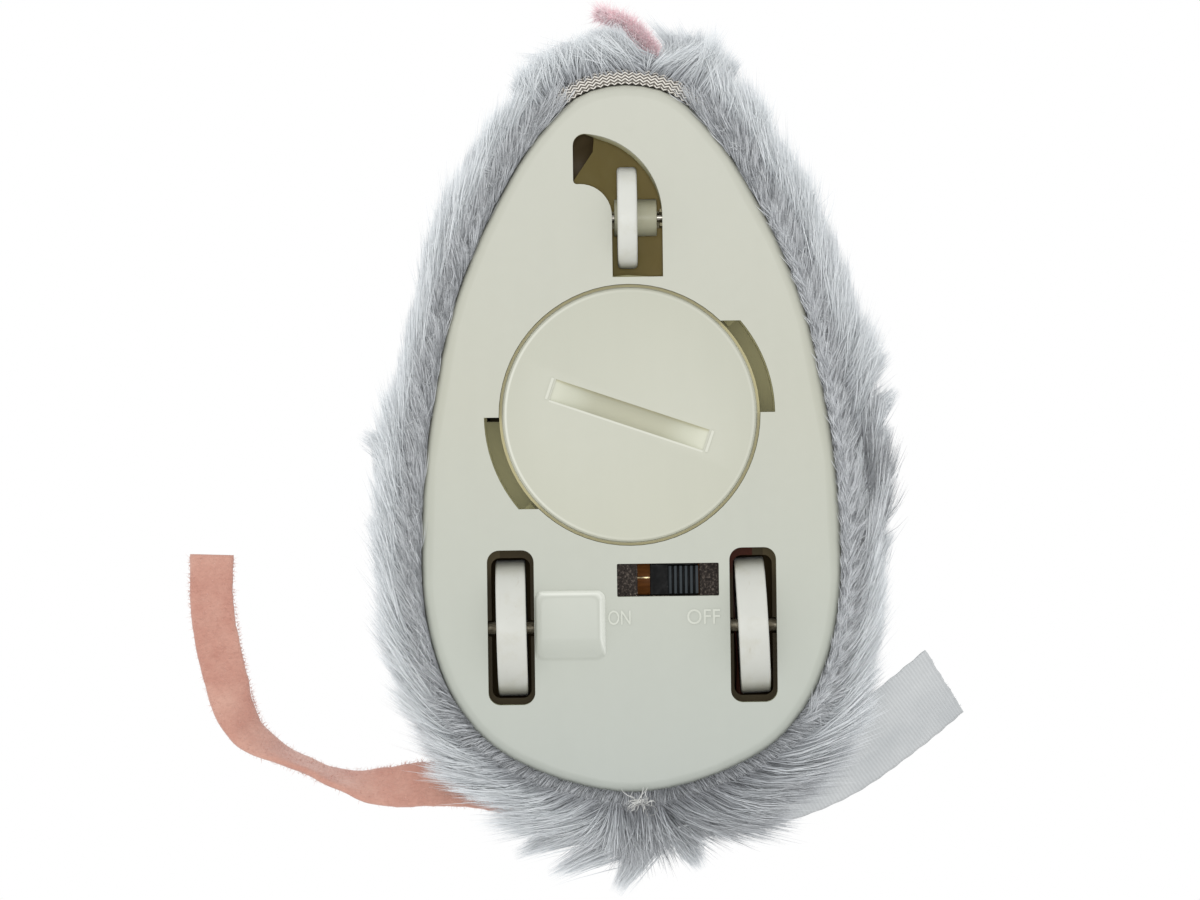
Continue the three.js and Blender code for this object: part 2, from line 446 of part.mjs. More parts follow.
// tail: felt ribbon from the rear seam, round the left, down to the floor
const TAIL_W = 4.2, TAIL_T = 0.9;
const tailRoute = [
  [-1.6, 19.6, 0.9, 0], [-6.6, 18.7, 0.9, 0], [-11.4, 16.9, 0.85, 4], [-15.8, 15.2, 0.75, 10], [-20.2, 14.8, 0.3, 20],
  [-24.0, 14.75, -0.1, 42], [-27.3, 14.1, -0.15, 66], [-30.1, 13.1, -0.15, 72], [-32.4, 12.1, -0.2, 66],
  [-34.4, 10.9, -0.35, 52], [-36.1, 9.2, -0.72, 36], [-37.3, 7.0, -1.04, 24], [-38.0, 4.6, -1.3, 16],
  [-38.6, 2.0, -1.5, 10], [-39.1, -1.0, -1.7, 5], [-39.4, -4.2, -1.8, 2], [-39.3, -7.4, -1.85, 0],
];
put(chassis, 'tail', ribbon(tailRoute, TAIL_W, TAIL_T, 30), FELT);

// care label: satin ribbon from the rear seam, leaning outward along the right flank
const labelRoute = [
  [1.6, 19.9, 4.4, 84], [7.4, 18.9, 4.3, 76], [13.0, 16.7, 4.1, 60], [18.9, 13.5, 3.9, 48], [24.8, 9.3, 3.7, 45], [29.9, 5.2, 3.4, 44],
];
put(chassis, 'care_label', ribbon(labelRoute, 10, 0.4, 14), SATIN);

// ---------------------------------------------------------------- drive axle
const drive = group(0, 0, AXLE_Z);
put(drive, 'rear_axle', cylX(0, 0, AXLE_R, -AXLE_X, AXLE_X, 14), STEEL);
for (const [name, s] of [['rear_wheel_left', 1], ['rear_wheel_right', -1]]) {
  const h = WHEEL_W / 2, R = WHEEL_R, c = s * WHEEL_X;
  const profile = [[AXLE_R + RUN, -1.3], [2.0, -1.3], [2.4, -0.85], [4.6, -h], [R - 0.16, -h], [R - 0.04, -h + 0.06], [R, -h + 0.2],
    [R, h - 0.2], [R - 0.04, h - 0.06], [R - 0.16, h], [4.6, h], [2.4, 0.85], [2.0, 1.3], [AXLE_R + RUN, 1.3]];
  put(drive, name, latheX(profile, 40).rotate([0, 0, WHEEL_LEAN[name]]).translate([c, 0, 0]), WHITE);
}
put(drive, 'axle_gear', cut(gear(T_AXLE, -7.9, -4.95, PHASE_AXLE), cylX(0, 0, AXLE_R + RUN, -9, -4, 14)), NYLON);

// ---------------------------------------------------------------- idler, motor
const idler = group(0, IDLER_Y, IDLER_Z);
put(idler, 'idler_gear', cut(join(gear(T_IDLER_S, -7.7, -4.4, PHASE_IDLER), gear(T_IDLER_L, -4.5, -3.4, PHASE_IDLER)),
  cylX(0, 0, PIN_R + RUN, -9, -3, 12)), NYLON);
put(idler, 'idler_pin', cylX(0, 0, PIN_R, -9.05, -2.25, 16), STEEL);

const motor = group(0, MOTOR_Y, MOTOR_Z);
put(motor, 'motor_can', cut(join(cylX(0, 0, 5.0, -1.95, 5.4, 28), cylX(0, 0, 1.2, -2.6, -1.9, 16)), cylX(0, 0, SHAFT_R + RUN, -3, 4.6, 12)), STEEL);
put(motor, 'motor_end_cap', cylX(0, 0, 4.85, 5.7, 6.9, 28), BLACK);
put(motor, 'motor_shaft', cylX(0, 0, SHAFT_R, -5.2, 4.2, 14), STEEL);
put(motor, 'motor_pinion', cut(gear(T_MOTOR, -4.75, -3.3, PHASE_MOTOR), cylX(0, 0, SHAFT_R + RUN, -6, -3, 12)), BRASS);
// spring strap over the can, with feet beside the cradles
const strapOut = join(cylX(0, 0, 5.8, 1.3, 3.5, 28), box(1.3, 3.5, -5.8, 5.8, -5.1, 0));
put(motor, 'motor_strap', cut(strapOut, cylX(0, 0, 5.3, 1, 4, 28), box(1, 4, -5.3, 5.3, -6, 0)), STEEL);

// ---------------------------------------------------------------- gearbox cover and bearing caps
let cover = box(-9.05, -2.25, -6.4, 10.3, WALL_TOP + GAP, WALL_TOP + 1.3);
for (const [a, b] of WALL_X) cover = join(cover,
  box(a, b, -0.45, 0.45, AXLE_Z + AXLE_R + 0.3, WALL_TOP + 0.5),
  box(a, b, IDLER_Y - 0.35, IDLER_Y + 0.35, IDLER_Z + 0.8, WALL_TOP + 0.5));
cover = join(cover, box(WALL_X[1][0], WALL_X[1][1], MOTOR_Y - 1.2, MOTOR_Y + 1.2, MOTOR_Z + 1.6, WALL_TOP + 0.5));
cover = cut(cover, ...POSTS.map(([x, y]) => cylZ(x, y, 0.85, 10, 20, 16)), cylX(IDLER_Y, IDLER_Z, 4.75, -4.8, -3.06, 40),
  cylX(0, AXLE_Z, AXLE_R + 0.3, -10, -2, 20));
put(chassis, 'gearbox_cover', cover, IVORY);
POSTS.forEach(([x, y], i) => put(chassis, `gearbox_screw_${i + 1}`,
  cut(join(cylZ(x, y, 1.5, WALL_TOP + 1.5, WALL_TOP + 2.3, 14), cylZ(x, y, 0.55, 8.2, WALL_TOP + 1.6, 8)),
    box(x - 1.0, x + 1.0, y - 0.18, y + 0.18, WALL_TOP + 1.9, WALL_TOP + 3), box(x - 0.18, x + 0.18, y - 1.0, y + 1.0, WALL_TOP + 1.9, WALL_TOP + 3)), STEEL));
for (const [name, a, b] of [['axle_cap_left', 14.1, 15.5], ['axle_cap_right', -15.5, -14.1]])
  put(chassis, name, join(box(a, b, -1.7, 1.7, 5.5, 6.4), box(a, b, -0.45, 0.45, AXLE_Z + AXLE_R + 0.3, 5.6)), IVORY);

// ---------------------------------------------------------------- caster
const caster = group(PIVOT[0], PIVOT[1], 0);
let arm = join(cylZ(0, 0, 1.95, PLATE_T + GAP, 8.5, 24), box(1.0, 2.67, -1.7, 1.7, PLATE_T + GAP, 8.0),
  box(0.95, 8.0, -0.8, 0.8, 7.5, 8.5), box(7.5, 8.0, -0.8, 0.8, PLATE_T + GAP, 7.6));
arm = cut(arm, cylZ(0, 0, POST_R + RUN, 0, 10, 20), cylX(0, FRONT_Z, FRONT_PIN_R + RUN, 1.0, 4, 14),
  cylX(0, FRONT_Z, FRONT_PIN_R + RUN, 7, 9, 14), box(7, 9, -FRONT_PIN_R - RUN, FRONT_PIN_R + RUN, 0, FRONT_Z));
put(caster, 'caster_arm', arm, NYLON);
put(caster, 'front_axle', cylX(0, FRONT_Z, FRONT_PIN_R, 1.6, 7.98, 14), STEEL);
const frontProfile = [[FRONT_PIN_R + RUN, -1.22], [1.75, -1.22], [1.75, -0.7], [3.5, -0.93], [FRONT_R - 0.28, -0.93], [FRONT_R - 0.08, -0.82],
  [FRONT_R, -0.6], [FRONT_R, 0.6], [FRONT_R - 0.08, 0.82], [FRONT_R - 0.28, 0.93], [3.5, 0.93], [1.75, 0.7], [1.75, 2.78], [FRONT_PIN_R + RUN, 2.78]];
const front = group(PIVOT[0] + CASTER_ARM, PIVOT[1], FRONT_Z);
put(front, 'front_wheel', latheX(frontProfile, 36), WHITE);
// flat cover over the caster, screwed to the pivot post
const coverRim = [];
for (let i = 0; i <= 14; i++) coverRim.push([8.7 * Math.cos(rad(-80.5 * i / 14)), 8.7 * Math.sin(rad(-80.5 * i / 14))]);
const coverPlan = [[8.7, 5.75], ...coverRim, [1.27, -6.6], [-0.46, -4.06], [-2.6, -0.9], [-2.6, 2.4], [1.4, 5.75]];
put(chassis, 'caster_cover', cut(prism(new THREE.Shape(coverPlan.map(([x, y]) => new THREE.Vector2(x, y))), 8.8, 9.5),
  cylZ(0, 0, 0.75, 8, 10, 16)).translate([PIVOT[0], PIVOT[1], 0]), IVORY);
const [PX, PY] = PIVOT;
put(chassis, 'caster_pivot_screw', cut(join(cylZ(PX, PY, 2.0, 9.8, 10.6, 18), cylZ(PX, PY, 0.45, 4.6, 9.9, 12)),
  box(PX - 1.3, PX + 1.3, PY - 0.2, PY + 0.2, 10.25, 11), box(PX - 0.2, PX + 0.2, PY - 1.3, PY + 1.3, 10.25, 11)), STEEL);

// ---------------------------------------------------------------- battery cap, cell, contacts
const capGroup = group(0, CAP_Y, 0);
let cap = latheZ([[0, 0], [CAP_R - 0.5, 0], [CAP_R - 0.22, 0.06], [CAP_R - 0.06, 0.2], [CAP_R, 0.42], [CAP_R, 0.55], [CAP_FLANGE_R, 0.55], [CAP_FLANGE_R, 2.6],
  [CELL_R + 0.4, 2.6], [CELL_R + 0.4, 1.7], [0, 1.7]], 72);
cap = join(cap, ...[0, 180].map((t) => prism(sector(0, 0, 11, LUG_R, t + LUG_REST - LUG_HALF, t + LUG_REST + LUG_HALF, 8), PLATE_T + GAP, 2.6)));
const coin = solid(new THREE.CylinderGeometry(29.6, 29.6, 2.05, 72).rotateY(Math.PI / 72))
  .translate([0, 0, 1.1 - 29.6]).intersect(box(-7.6, 7.6, -2, 2, -2, 2)).rotate([0, 0, CAP_ANGLE]);
cap = join(cut(cap, coin), ...[[-8.05, -7.8], [7.8, 8.05]].map(([a, b]) => box(a, b, -1.05, 1.05, -0.07, 0.5).rotate([0, 0, CAP_ANGLE])));
put(capGroup, 'battery_cap', cap, IVORY);
put(chassis, 'coin_cell', latheZ([[0, CELL_Z[0]], [CELL_R - 0.3, CELL_Z[0]], [CELL_R, CELL_Z[0] + 0.3], [CELL_R, CELL_Z[1] - 0.6], [CELL_R - 1.1, CELL_Z[1] - 0.35],
  [CELL_R - 1.2, CELL_Z[1]], [0, CELL_Z[1]]], 28).translate([0, CAP_Y, 0]), STEEL);
put(chassis, 'contact_positive', join(box(-1.8, 1.8, CAP_Y - 10.65, CAP_Y - 10.35, 3.3, 7.9), box(-1.0, 1.0, CAP_Y - 10.65, CAP_Y - 9.4, 7.6, 7.9)), BRASS);
put(chassis, 'contact_negative', join(box(-1.9, 1.9, CAP_Y - 4.0, CAP_Y + 4.1, 5.5, 5.75), box(-1.9, 1.9, CAP_Y + 3.8, CAP_Y + 4.1, 5.5, 7.9)), BRASS);

// ---------------------------------------------------------------- control board
let board = cut(box(-8.6, 8.6, -27.4, -12.6, 8.6, 9.6), ...BOARD_POSTS.map(([x, y]) => cylZ(x, y, 0.85, 8, 10, 16)));
board = cut(board, box(-2.6, 2.6, CAP_Y + 3.2, CAP_Y + 4.7, 8, 10));
put(chassis, 'control_board', board, GREEN);
put(chassis, 'board_chip', solid(new THREE.BoxGeometry(5, 4, 1.4).translate(-0.5, -22.5, 10.6)), BLACK);
BOARD_POSTS.forEach(([x, y], i) => put(chassis, `board_screw_${i + 1}`,
  cut(join(cylZ(x, y, 1.4, 9.85, 10.6, 14), cylZ(x, y, 0.45, 7.2, 9.9, 8)),
    box(x - 0.9, x + 0.9, y - 0.16, y + 0.16, 10.25, 11)), STEEL));

// ---------------------------------------------------------------- slide switch
let frame = box(-2.2, 8.55, -6.45, -2.45, PLATE_T + GAP, PLATE_T + GAP + 0.35);
frame = join(frame, box(-2.2, 8.55, -6.45, -6.2, PLATE_T + GAP, 5.5), box(-2.2, 8.55, -2.7, -2.45, PLATE_T + GAP, 5.5));
frame = cut(frame, box(0.55, 6.4, -5.95, -2.95, 0, 3));
put(chassis, 'switch_frame', frame, STEEL);
put(chassis, 'switch_base', box(-2.1, 8.45, -5.9, -3.0, 4.2, 5.2), PHENOLIC);
const slide = group(0, 0, 0);
let knob = join(box(1.75, 6.27, -5.9, -3.0, 2.35, 3.7), box(KNOB_X[0], KNOB_X[1], KNOB_Y[0], KNOB_Y[1], 0.1, 2.5));
for (let i = 0; i < 5; i++) {
  const x = KNOB_X[0] + 0.42 + i * 0.5;
  knob = cut(knob, box(x - 0.12, x + 0.12, -7, -2, -1, 0.6));
}
put(slide, 'switch_slider', knob, BLACK);

// ---------------------------------------------------------------- wires
put(chassis, 'wire_battery_red', wire([[0, -31.6, 8.3], [-2.5, -32.2, 9.2], [-6, -31.4, 10.2], [-7.4, -29.5, 10.6], [-7.4, -27.0, 10.4]], 0.45, 8), RED);
put(chassis, 'wire_battery_black', wire([[0, -15.9, 8.6], [0, -15.9, 10.5], [1.5, -12, 11.6], [4.5, -8.2, 9.5], [6.5, -5.6, 6.9], [6.8, -4.6, 5.7]], 0.45, 9), BLACK);
put(chassis, 'wire_motor_red', wire([[7.4, 9.4, 7.6], [9.6, 8.6, 9.2], [10.4, 3, 12.2], [9.2, -5, 12.4], [7.6, -11.2, 11.2], [7.2, -13.4, 10.3]], 0.45, 10), RED);
put(chassis, 'wire_motor_black', wire([[7.4, 5.8, 7.6], [8.6, 4.6, 9.4], [8.4, 0, 11.6], [6.2, -6.5, 12.6], [3.8, -11.2, 11.6], [3.2, -13.4, 10.3]], 0.45, 10), BLACK);

export default toy;
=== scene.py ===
import json
import math

import bpy
import numpy as np
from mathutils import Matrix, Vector, kdtree, noise


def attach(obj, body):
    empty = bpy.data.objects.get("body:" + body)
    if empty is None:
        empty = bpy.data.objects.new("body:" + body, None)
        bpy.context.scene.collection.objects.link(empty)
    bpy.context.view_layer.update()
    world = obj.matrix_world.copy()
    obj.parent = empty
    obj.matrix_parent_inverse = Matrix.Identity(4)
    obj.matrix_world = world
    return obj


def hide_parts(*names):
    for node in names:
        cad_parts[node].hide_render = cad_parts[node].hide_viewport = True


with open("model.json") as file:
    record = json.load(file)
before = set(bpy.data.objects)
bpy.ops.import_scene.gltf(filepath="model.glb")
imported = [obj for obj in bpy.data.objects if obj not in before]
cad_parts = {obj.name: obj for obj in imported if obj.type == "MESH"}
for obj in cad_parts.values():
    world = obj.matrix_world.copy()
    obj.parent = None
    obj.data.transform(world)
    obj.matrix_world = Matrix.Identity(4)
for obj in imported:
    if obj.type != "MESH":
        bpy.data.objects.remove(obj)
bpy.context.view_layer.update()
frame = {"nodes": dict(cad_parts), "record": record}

MM = 0.001
NODES = frame["nodes"]
RNG = np.random.default_rng(20261)


# ------------------------------------------------------------------ colours and materials
def lin(r, g, b):
    """8-bit display colour to linear light."""
    out = []
    for c in (r, g, b):
        c /= 255.0
        out.append(c / 12.92 if c <= 0.04045 else ((c + 0.055) / 1.055) ** 2.4)
    return (*out, 1.0)


class Nodes:
    """A small helper that lays out one Principled material."""

    def __init__(self, name):
        self.m = bpy.data.materials.new(name)
        self.m.use_nodes = True
        self.t = self.m.node_tree
        self.p = self.t.nodes["Principled BSDF"]

    def add(self, kind, **values):
        n = self.t.nodes.new(kind)
        for k, v in values.items():
            if hasattr(n, k):
                setattr(n, k, v)
            else:
                n.inputs[k.replace("_", " ")].default_value = v
        return n

    def link(self, a, b):
        self.t.links.new(a, b)

    def coords(self, which="Object"):
        return self.add("ShaderNodeTexCoord").outputs[which]

    def stretch(self, vector, scale, location=(0, 0, 0), rotation=(0, 0, 0)):
        n = self.add("ShaderNodeMapping")
        n.inputs["Scale"].default_value = scale
        n.inputs["Location"].default_value = location
        n.inputs["Rotation"].default_value = rotation
        self.link(vector, n.inputs["Vector"])
        return n.outputs["Vector"]

    def noise(self, vector, scale, detail=3.0, rough=0.55):
        n = self.add("ShaderNodeTexNoise")
        n.inputs["Scale"].default_value = scale
        n.inputs["Detail"].default_value = detail
        n.inputs["Roughness"].default_value = rough
        self.link(vector, n.inputs["Vector"])
        return n.outputs["Fac"]

    def ramp(self, value, stops, smooth=False):
        n = self.add("ShaderNodeValToRGB")
        r = n.color_ramp
        if smooth:
            r.interpolation = "EASE"
        while len(r.elements) < len(stops):
            r.elements.new(0.5)
        for e, (pos, col) in zip(r.elements, stops):
            e.position = pos
            e.color = col
        self.link(value, n.inputs["Fac"])
        return n.outputs["Color"]

    def mixed(self, a, b, fac, mode="MIX"):
        n = self.add("ShaderNodeMix")
        n.data_type = "RGBA"
        n.blend_type = mode
        if isinstance(fac, float):
            n.inputs[0].default_value = fac
        else:
            self.link(fac, n.inputs[0])
        self.link(a, n.inputs[6])
        self.link(b, n.inputs[7])
        return n.outputs[2]

    def between(self, value, lo, hi, to_lo, to_hi):
        n = self.add("ShaderNodeMapRange")
        n.inputs["From Min"].default_value = lo
        n.inputs["From Max"].default_value = hi
        n.inputs["To Min"].default_value = to_lo
        n.inputs["To Max"].default_value = to_hi
        self.link(value, n.inputs["Value"])
        return n.outputs["Result"]

    def bump(self, height, strength, distance=0.0001):
        n = self.add("ShaderNodeBump")
        n.inputs["Strength"].default_value = strength
        n.inputs["Distance"].default_value = distance
        self.link(height, n.inputs["Height"])
        self.link(n.outputs["Normal"], self.p.inputs["Normal"])

    def maths(self, op, a, b=None):
        n = self.add("ShaderNodeMath")
        n.operation = op
        for k, v in enumerate((a, b)):
            if v is None:
                continue
            if isinstance(v, (int, float)):
                n.inputs[k].default_value = v
            else:
                self.link(v, n.inputs[k])
        return n.outputs[0]

    def axes(self, vector):
        n = self.add("ShaderNodeSeparateXYZ")
        self.link(vector, n.inputs["Vector"])
        return n.outputs["X"], n.outputs["Y"], n.outputs["Z"]

    def radius(self, a, b, a0, b0):
        """Distance of (a, b) from (a0, b0)."""
        da, db = self.maths("SUBTRACT", a, a0), self.maths("SUBTRACT", b, b0)
        return self.maths("SQRT", self.maths("ADD", self.maths("MULTIPLY", da, da), self.maths("MULTIPLY", db, db)))

    def colour(self, socket):
        self.link(socket, self.p.inputs["Base Color"])

    def set(self, **values):
        for k, v in values.items():
            self.p.inputs[k.replace("_", " ")].default_value = v
        return self


def shade(c, k):
    return (min(1, c[0] * k), min(1, c[1] * k), min(1, c[2] * k), 1.0)


def plastic(name, rgb, rough=0.42, vary=0.04, grain=0.08, scale=180.0, sheen=None, ior=1.46):
    n = Nodes(name)
    c = lin(*rgb)
    at = n.coords()
    n.colour(n.ramp(n.noise(at, scale, 4.0), [(0.3, shade(c, 1 - vary)), (0.7, shade(c, 1 + vary))]))
    n.link(n.between(n.noise(at, scale * 5, 3.0), 0.3, 0.7, rough - 0.05, rough + 0.07), n.p.inputs["Roughness"])
    n.bump(n.noise(at, 5200.0, 2.0), grain, 0.00006)
    n.set(IOR=ior)
    return n.m


def metal(name, rgb, rough=0.35, vary=0.08, stretch=(1, 1, 1), scale=900.0):
    n = Nodes(name)
    c = lin(*rgb)
    at = n.stretch(n.coords(), stretch)
    f = n.noise(at, scale, 4.0)
    n.colour(n.ramp(f, [(0.25, shade(c, 1 - vary)), (0.75, shade(c, 1 + vary))]))
    n.link(n.between(f, 0.3, 0.7, rough - 0.08, rough + 0.1), n.p.inputs["Roughness"])
    n.bump(n.noise(at, scale * 4, 2.0), 0.1, 0.00004)
    n.set(Metallic=1.0)
    return n.m


# ------------------------------------------------------------------ meshes
def link(ob):
    bpy.context.scene.collection.objects.link(ob)
    return ob


def make(name, verts, faces, mats, which=None, smooth=True):
    """A mesh piece from millimetre points and a list of faces."""
    me = bpy.data.meshes.new(name)
    me.from_pydata([tuple(x) for x in np.asarray(verts, float).reshape(-1, 3) * MM], [], [tuple(int(i) for i in f) for f in faces])
    for m in mats:
        me.materials.append(m)
    if which is not None:
        me.polygons.foreach_set("material_index", np.asarray(which, np.int32))
    me.polygons.foreach_set("use_smooth", np.full(len(me.polygons), bool(smooth)))
    me.update()
    return link(bpy.data.objects.new(name, me))


def grid_faces(rows, cols, closed=False, start=0):
    """Quads over a grid of rows x cols points; closed joins the last column to the first."""
    out = []
    for i in range(rows - 1):
        for j in range(cols if closed else cols - 1):
            k = (j + 1) % cols
            out.append((start + i * cols + j, start + i * cols + k, start + (i + 1) * cols + k, start + (i + 1) * cols + j))
    return out


def unit(a):
    return a / np.maximum(np.linalg.norm(a, axis=-1, keepdims=True), 1e-9)


def spline(points, closed, per):
    """Centripetal Catmull-Rom through points, per samples a span."""
    p = np.asarray(points, float)
    n = len(p)
    out = []
    for i in range(n if closed else n - 1):
        q = [p[(i + k) % n] if closed or 0 <= i + k < n else None for k in (-1, 0, 1, 2)]
        q[0] = 2 * q[1] - q[2] if q[0] is None else q[0]
        q[3] = 2 * q[2] - q[1] if q[3] is None else q[3]
        d = [max(np.linalg.norm(b[:3] - a[:3]), 1e-6) ** 0.5 for a, b in zip(q, q[1:])]
        t1 = ((q[1] - q[0]) / d[0] - (q[2] - q[0]) / (d[0] + d[1]) + (q[2] - q[1]) / d[1]) * d[1]
        t2 = ((q[2] - q[1]) / d[1] - (q[3] - q[1]) / (d[1] + d[2]) + (q[3] - q[2]) / d[2]) * d[1]
        for k in range(per):
            t = k / per
            out.append(q[1] + t1 * t + (3 * (q[2] - q[1]) - 2 * t1 - t2) * t * t + (2 * (q[1] - q[2]) + t1 + t2) * t**3)
    if not closed:
        out.append(p[-1])
    return np.array(out)


def even(points, n, closed=False):
    """n points evenly spaced along a polyline."""
    p = np.vstack([points, points[:1]]) if closed else np.asarray(points)
    s = np.r_[0, np.cumsum(np.linalg.norm(np.diff(p[:, :3], axis=0), axis=1))]
    at = np.arange(n) / n * s[-1] if closed else np.linspace(0, s[-1], n)
    return np.column_stack([np.interp(at, s, p[:, k]) for k in range(p.shape[1])])


# ------------------------------------------------------------------ camera, floor and light
def setting():
    scene = bpy.context.scene
    scene.view_settings.view_transform = "Standard"
    cam = bpy.data.cameras.new("camera")
    cam.lens, cam.sensor_width, cam.clip_start, cam.clip_end = 180.0, 36.0, 0.01, 20.0
    ob = link(bpy.data.objects.new("camera", cam))
    ob.location = (-2.82 * MM, -16.73 * MM, -564.0 * MM)
    ob.rotation_euler = (math.pi, 0.0, 0.0131)
    scene.camera = ob

    world = bpy.data.worlds.new("studio")
    world.use_nodes = True
    world.node_tree.nodes["Background"].inputs["Color"].default_value = (1.0, 1.0, 1.0, 1.0)
    world.node_tree.nodes["Background"].inputs["Strength"].default_value = 1.0
    scene.world = world

    def panel(name, at, power, size):
        lamp = bpy.data.lights.new(name, "AREA")
        lamp.shape, lamp.size, lamp.energy = "DISK", size, power
        o = link(bpy.data.objects.new(name, lamp))
        o.location = at
        o.rotation_euler = (Vector((0, -0.018, 0.01)) - Vector(at)).to_track_quat("-Z", "Y").to_euler()

    panel("under_axis", (-0.0028, -0.0167, -0.60), 0.60, 0.04)
    panel("under_front", (-0.22, -0.40, -0.36), 0.28, 0.30)
    panel("overhead", (-0.24, -0.34, 0.55), 1.3, 0.36)

    # the floor is seen from above only, and lets the light below it through
    me = bpy.data.meshes.new("floor")
    r = 3.0
    me.from_pydata([(-r, -r, -2.4 * MM), (r, -r, -2.4 * MM), (r, r, -2.4 * MM), (-r, r, -2.4 * MM)], [], [(0, 1, 2, 3)])
    floor = link(bpy.data.objects.new("floor", me))
    n = Nodes("pale_floor")
    n.colour(n.ramp(n.noise(n.coords(), 3.0), [(0.3, lin(240, 240, 240)), (0.7, lin(243, 243, 243))]))
    n.set(Roughness=0.85)
    back = n.add("ShaderNodeNewGeometry")
    clear = n.add("ShaderNodeBsdfTransparent")
    mix = n.add("ShaderNodeMixShader")
    n.link(back.outputs["Backfacing"], mix.inputs[0])
    n.link(n.p.outputs["BSDF"], mix.inputs[1])
    n.link(clear.outputs["BSDF"], mix.inputs[2])
    n.link(mix.outputs["Shader"], n.t.nodes["Material Output"].inputs["Surface"])
    me.materials.append(n.m)
    floor.visible_diffuse = floor.visible_glossy = floor.visible_transmission = floor.visible_shadow = False


setting()


# ------------------------------------------------------------------ strands
def pile_material(name, stops, spread, rough=0.62, sheen=0.15):
    """Colour along a strand from root to tip, varied from strand to strand; both are read from the piece's own map.
    Darker root colours in the stops are painted shade among the strands.
    """
    n = Nodes(name)
    uv = n.add("ShaderNodeUVMap")
    uv.uv_map = "OFBake"
    sep = n.add("ShaderNodeSeparateXYZ")
    n.link(uv.outputs["UV"], sep.inputs["Vector"])
    along = n.ramp(sep.outputs["Y"], stops)
    other = n.ramp(sep.outputs["X"], spread)
    n.colour(n.mixed(along, other, 1.0, "MULTIPLY"))
    n.set(Roughness=rough, Sheen_Weight=sheen, Sheen_Roughness=0.5)
    n.p.inputs["Specular IOR Level"].default_value = 0.25
    return n.m


STRAND_T = np.array([0.0, 0.36, 0.72, 1.0])
STRAND_W = np.array([1.0, 0.95, 0.68, 0.10])


def strands(name, mat, p0, p1, p2, width, tone=None):
    """Tapered ribbon hairs along quadratic curves; p0, p1, p2 are the roots, bends and tips in millimetres."""
    n = len(p0)
    t = STRAND_T
    k = len(t)
    pos = (
        ((1 - t) ** 2)[None, :, None] * p0[:, None]
        + (2 * t * (1 - t))[None, :, None] * p1[:, None]
        + (t**2)[None, :, None] * p2[:, None]
    )
    tan = unit((1 - t)[None, :, None] * (p1 - p0)[:, None] + t[None, :, None] * (p2 - p1)[:, None])
    side = unit(np.cross(tan, RNG.normal(size=(n, 1, 3))))
    half = side * (np.broadcast_to(np.asarray(width, float), (n,))[:, None, None] * STRAND_W[None, :, None] / 2)
    co = np.stack([pos - half, pos + half], axis=2)  # strand, section, side, xyz
    base = (np.arange(n) * 2 * k)[:, None, None]
    quad = np.array([[2 * i, 2 * i + 1, 2 * i + 3, 2 * i + 2] for i in range(k - 1)])[None]
    faces = (base + quad).reshape(-1, 4)
    tone = RNG.random(n) if tone is None else tone
    u = 0.006 + 0.982 * tone
    uv = np.empty((n, k, 2, 2))
    uv[..., 0, 0] = (u - 0.004)[:, None]
    uv[..., 1, 0] = (u + 0.004)[:, None]
    uv[..., 1] = (0.01 + 0.98 * t)[None, :, None]
    me = bpy.data.meshes.new(name)
    me.vertices.add(n * 2 * k)
    me.vertices.foreach_set("co", (co * MM).astype(np.float32).ravel())
    me.loops.add(faces.size)
    me.loops.foreach_set("vertex_index", faces.astype(np.int32).ravel())
    me.polygons.add(len(faces))
    me.polygons.foreach_set("loop_start", np.arange(0, faces.size, 4, dtype=np.int32))
    me.update(calc_edges=True)
    me.polygons.foreach_set("use_smooth", np.ones(len(faces), bool))
    layer = me.uv_layers.new(name="OFBake")
    layer.data.foreach_set("uv", uv.reshape(-1, 2)[faces.ravel()].astype(np.float32).ravel())
    me.materials.append(mat)
    me.validate()
    return link(bpy.data.objects.new(name, me))


def drift(points, size, seed):
    """A smooth random vector field, about one unit strong, with features of that size in millimetres."""
    off = Vector((17.3 * seed, 5.1 * seed, 9.7 * seed))
    return np.array([noise.noise_vector(Vector(p) / size + off) for p in points]) * 1.6


def clumped(p0, p1, p2, per, keep, pull):
    """Draws strands together in locks of about per strands; keep is the share of the root spacing left at the tips."""
    n = len(p0)
    heads = RNG.choice(n, max(1, n // per), replace=False)
    tree = kdtree.KDTree(len(heads))
    for i, h in enumerate(heads):
        tree.insert(p0[h], i)
    tree.balance()
    h = heads[[tree.find(p)[1] for p in p0]]
    pull = np.clip(pull + RNG.normal(0, 0.12, n), 0.15, 0.97)[:, None]
    gap = p0 - p0[h]
    tip = p2[h] + gap * keep
    mid = p1[h] + gap * (0.5 + keep / 2)
    # a strand keeps its own length along the lock, so that tips end unevenly
    stagger = RNG.normal(0, 0.11, n)[:, None] * (p2[h] - p0[h])
    return p0, p1 * (1 - pull * 0.7) + mid * pull * 0.7, p2 * (1 - pull) + (tip + stagger) * pull


# ------------------------------------------------------------------ the egg outline and the cover's shape
EGG = [
    (-51.1, 0), (-50.5, 3.5), (-49.3, 5.55), (-45.6, 8.95), (-40.4, 12.15), (-35.0, 14.75), (-29.2, 16.85), (-19.6, 18.8), (-13.9, 19.5),
    (-8.3, 19.8), (-2.6, 19.65), (2.5, 18.65), (7.2, 16.65), (11.1, 13.4), (13.7, 8.75), (15.2, 4.0), (15.7, 0),
]
OUT_N = 288
_ring = [(w, y) for y, w in EGG] + [(-w, y) for y, w in EGG[1:-1][::-1]]
OUTLINE = even(spline(_ring, True, 40), OUT_N, True)
OUT_T = unit(np.roll(OUTLINE, -2, 0) - np.roll(OUTLINE, 2, 0))
OUT_NORMAL = np.column_stack([OUT_T[:, 1], -OUT_T[:, 0]])
BODY_CY = -8.0


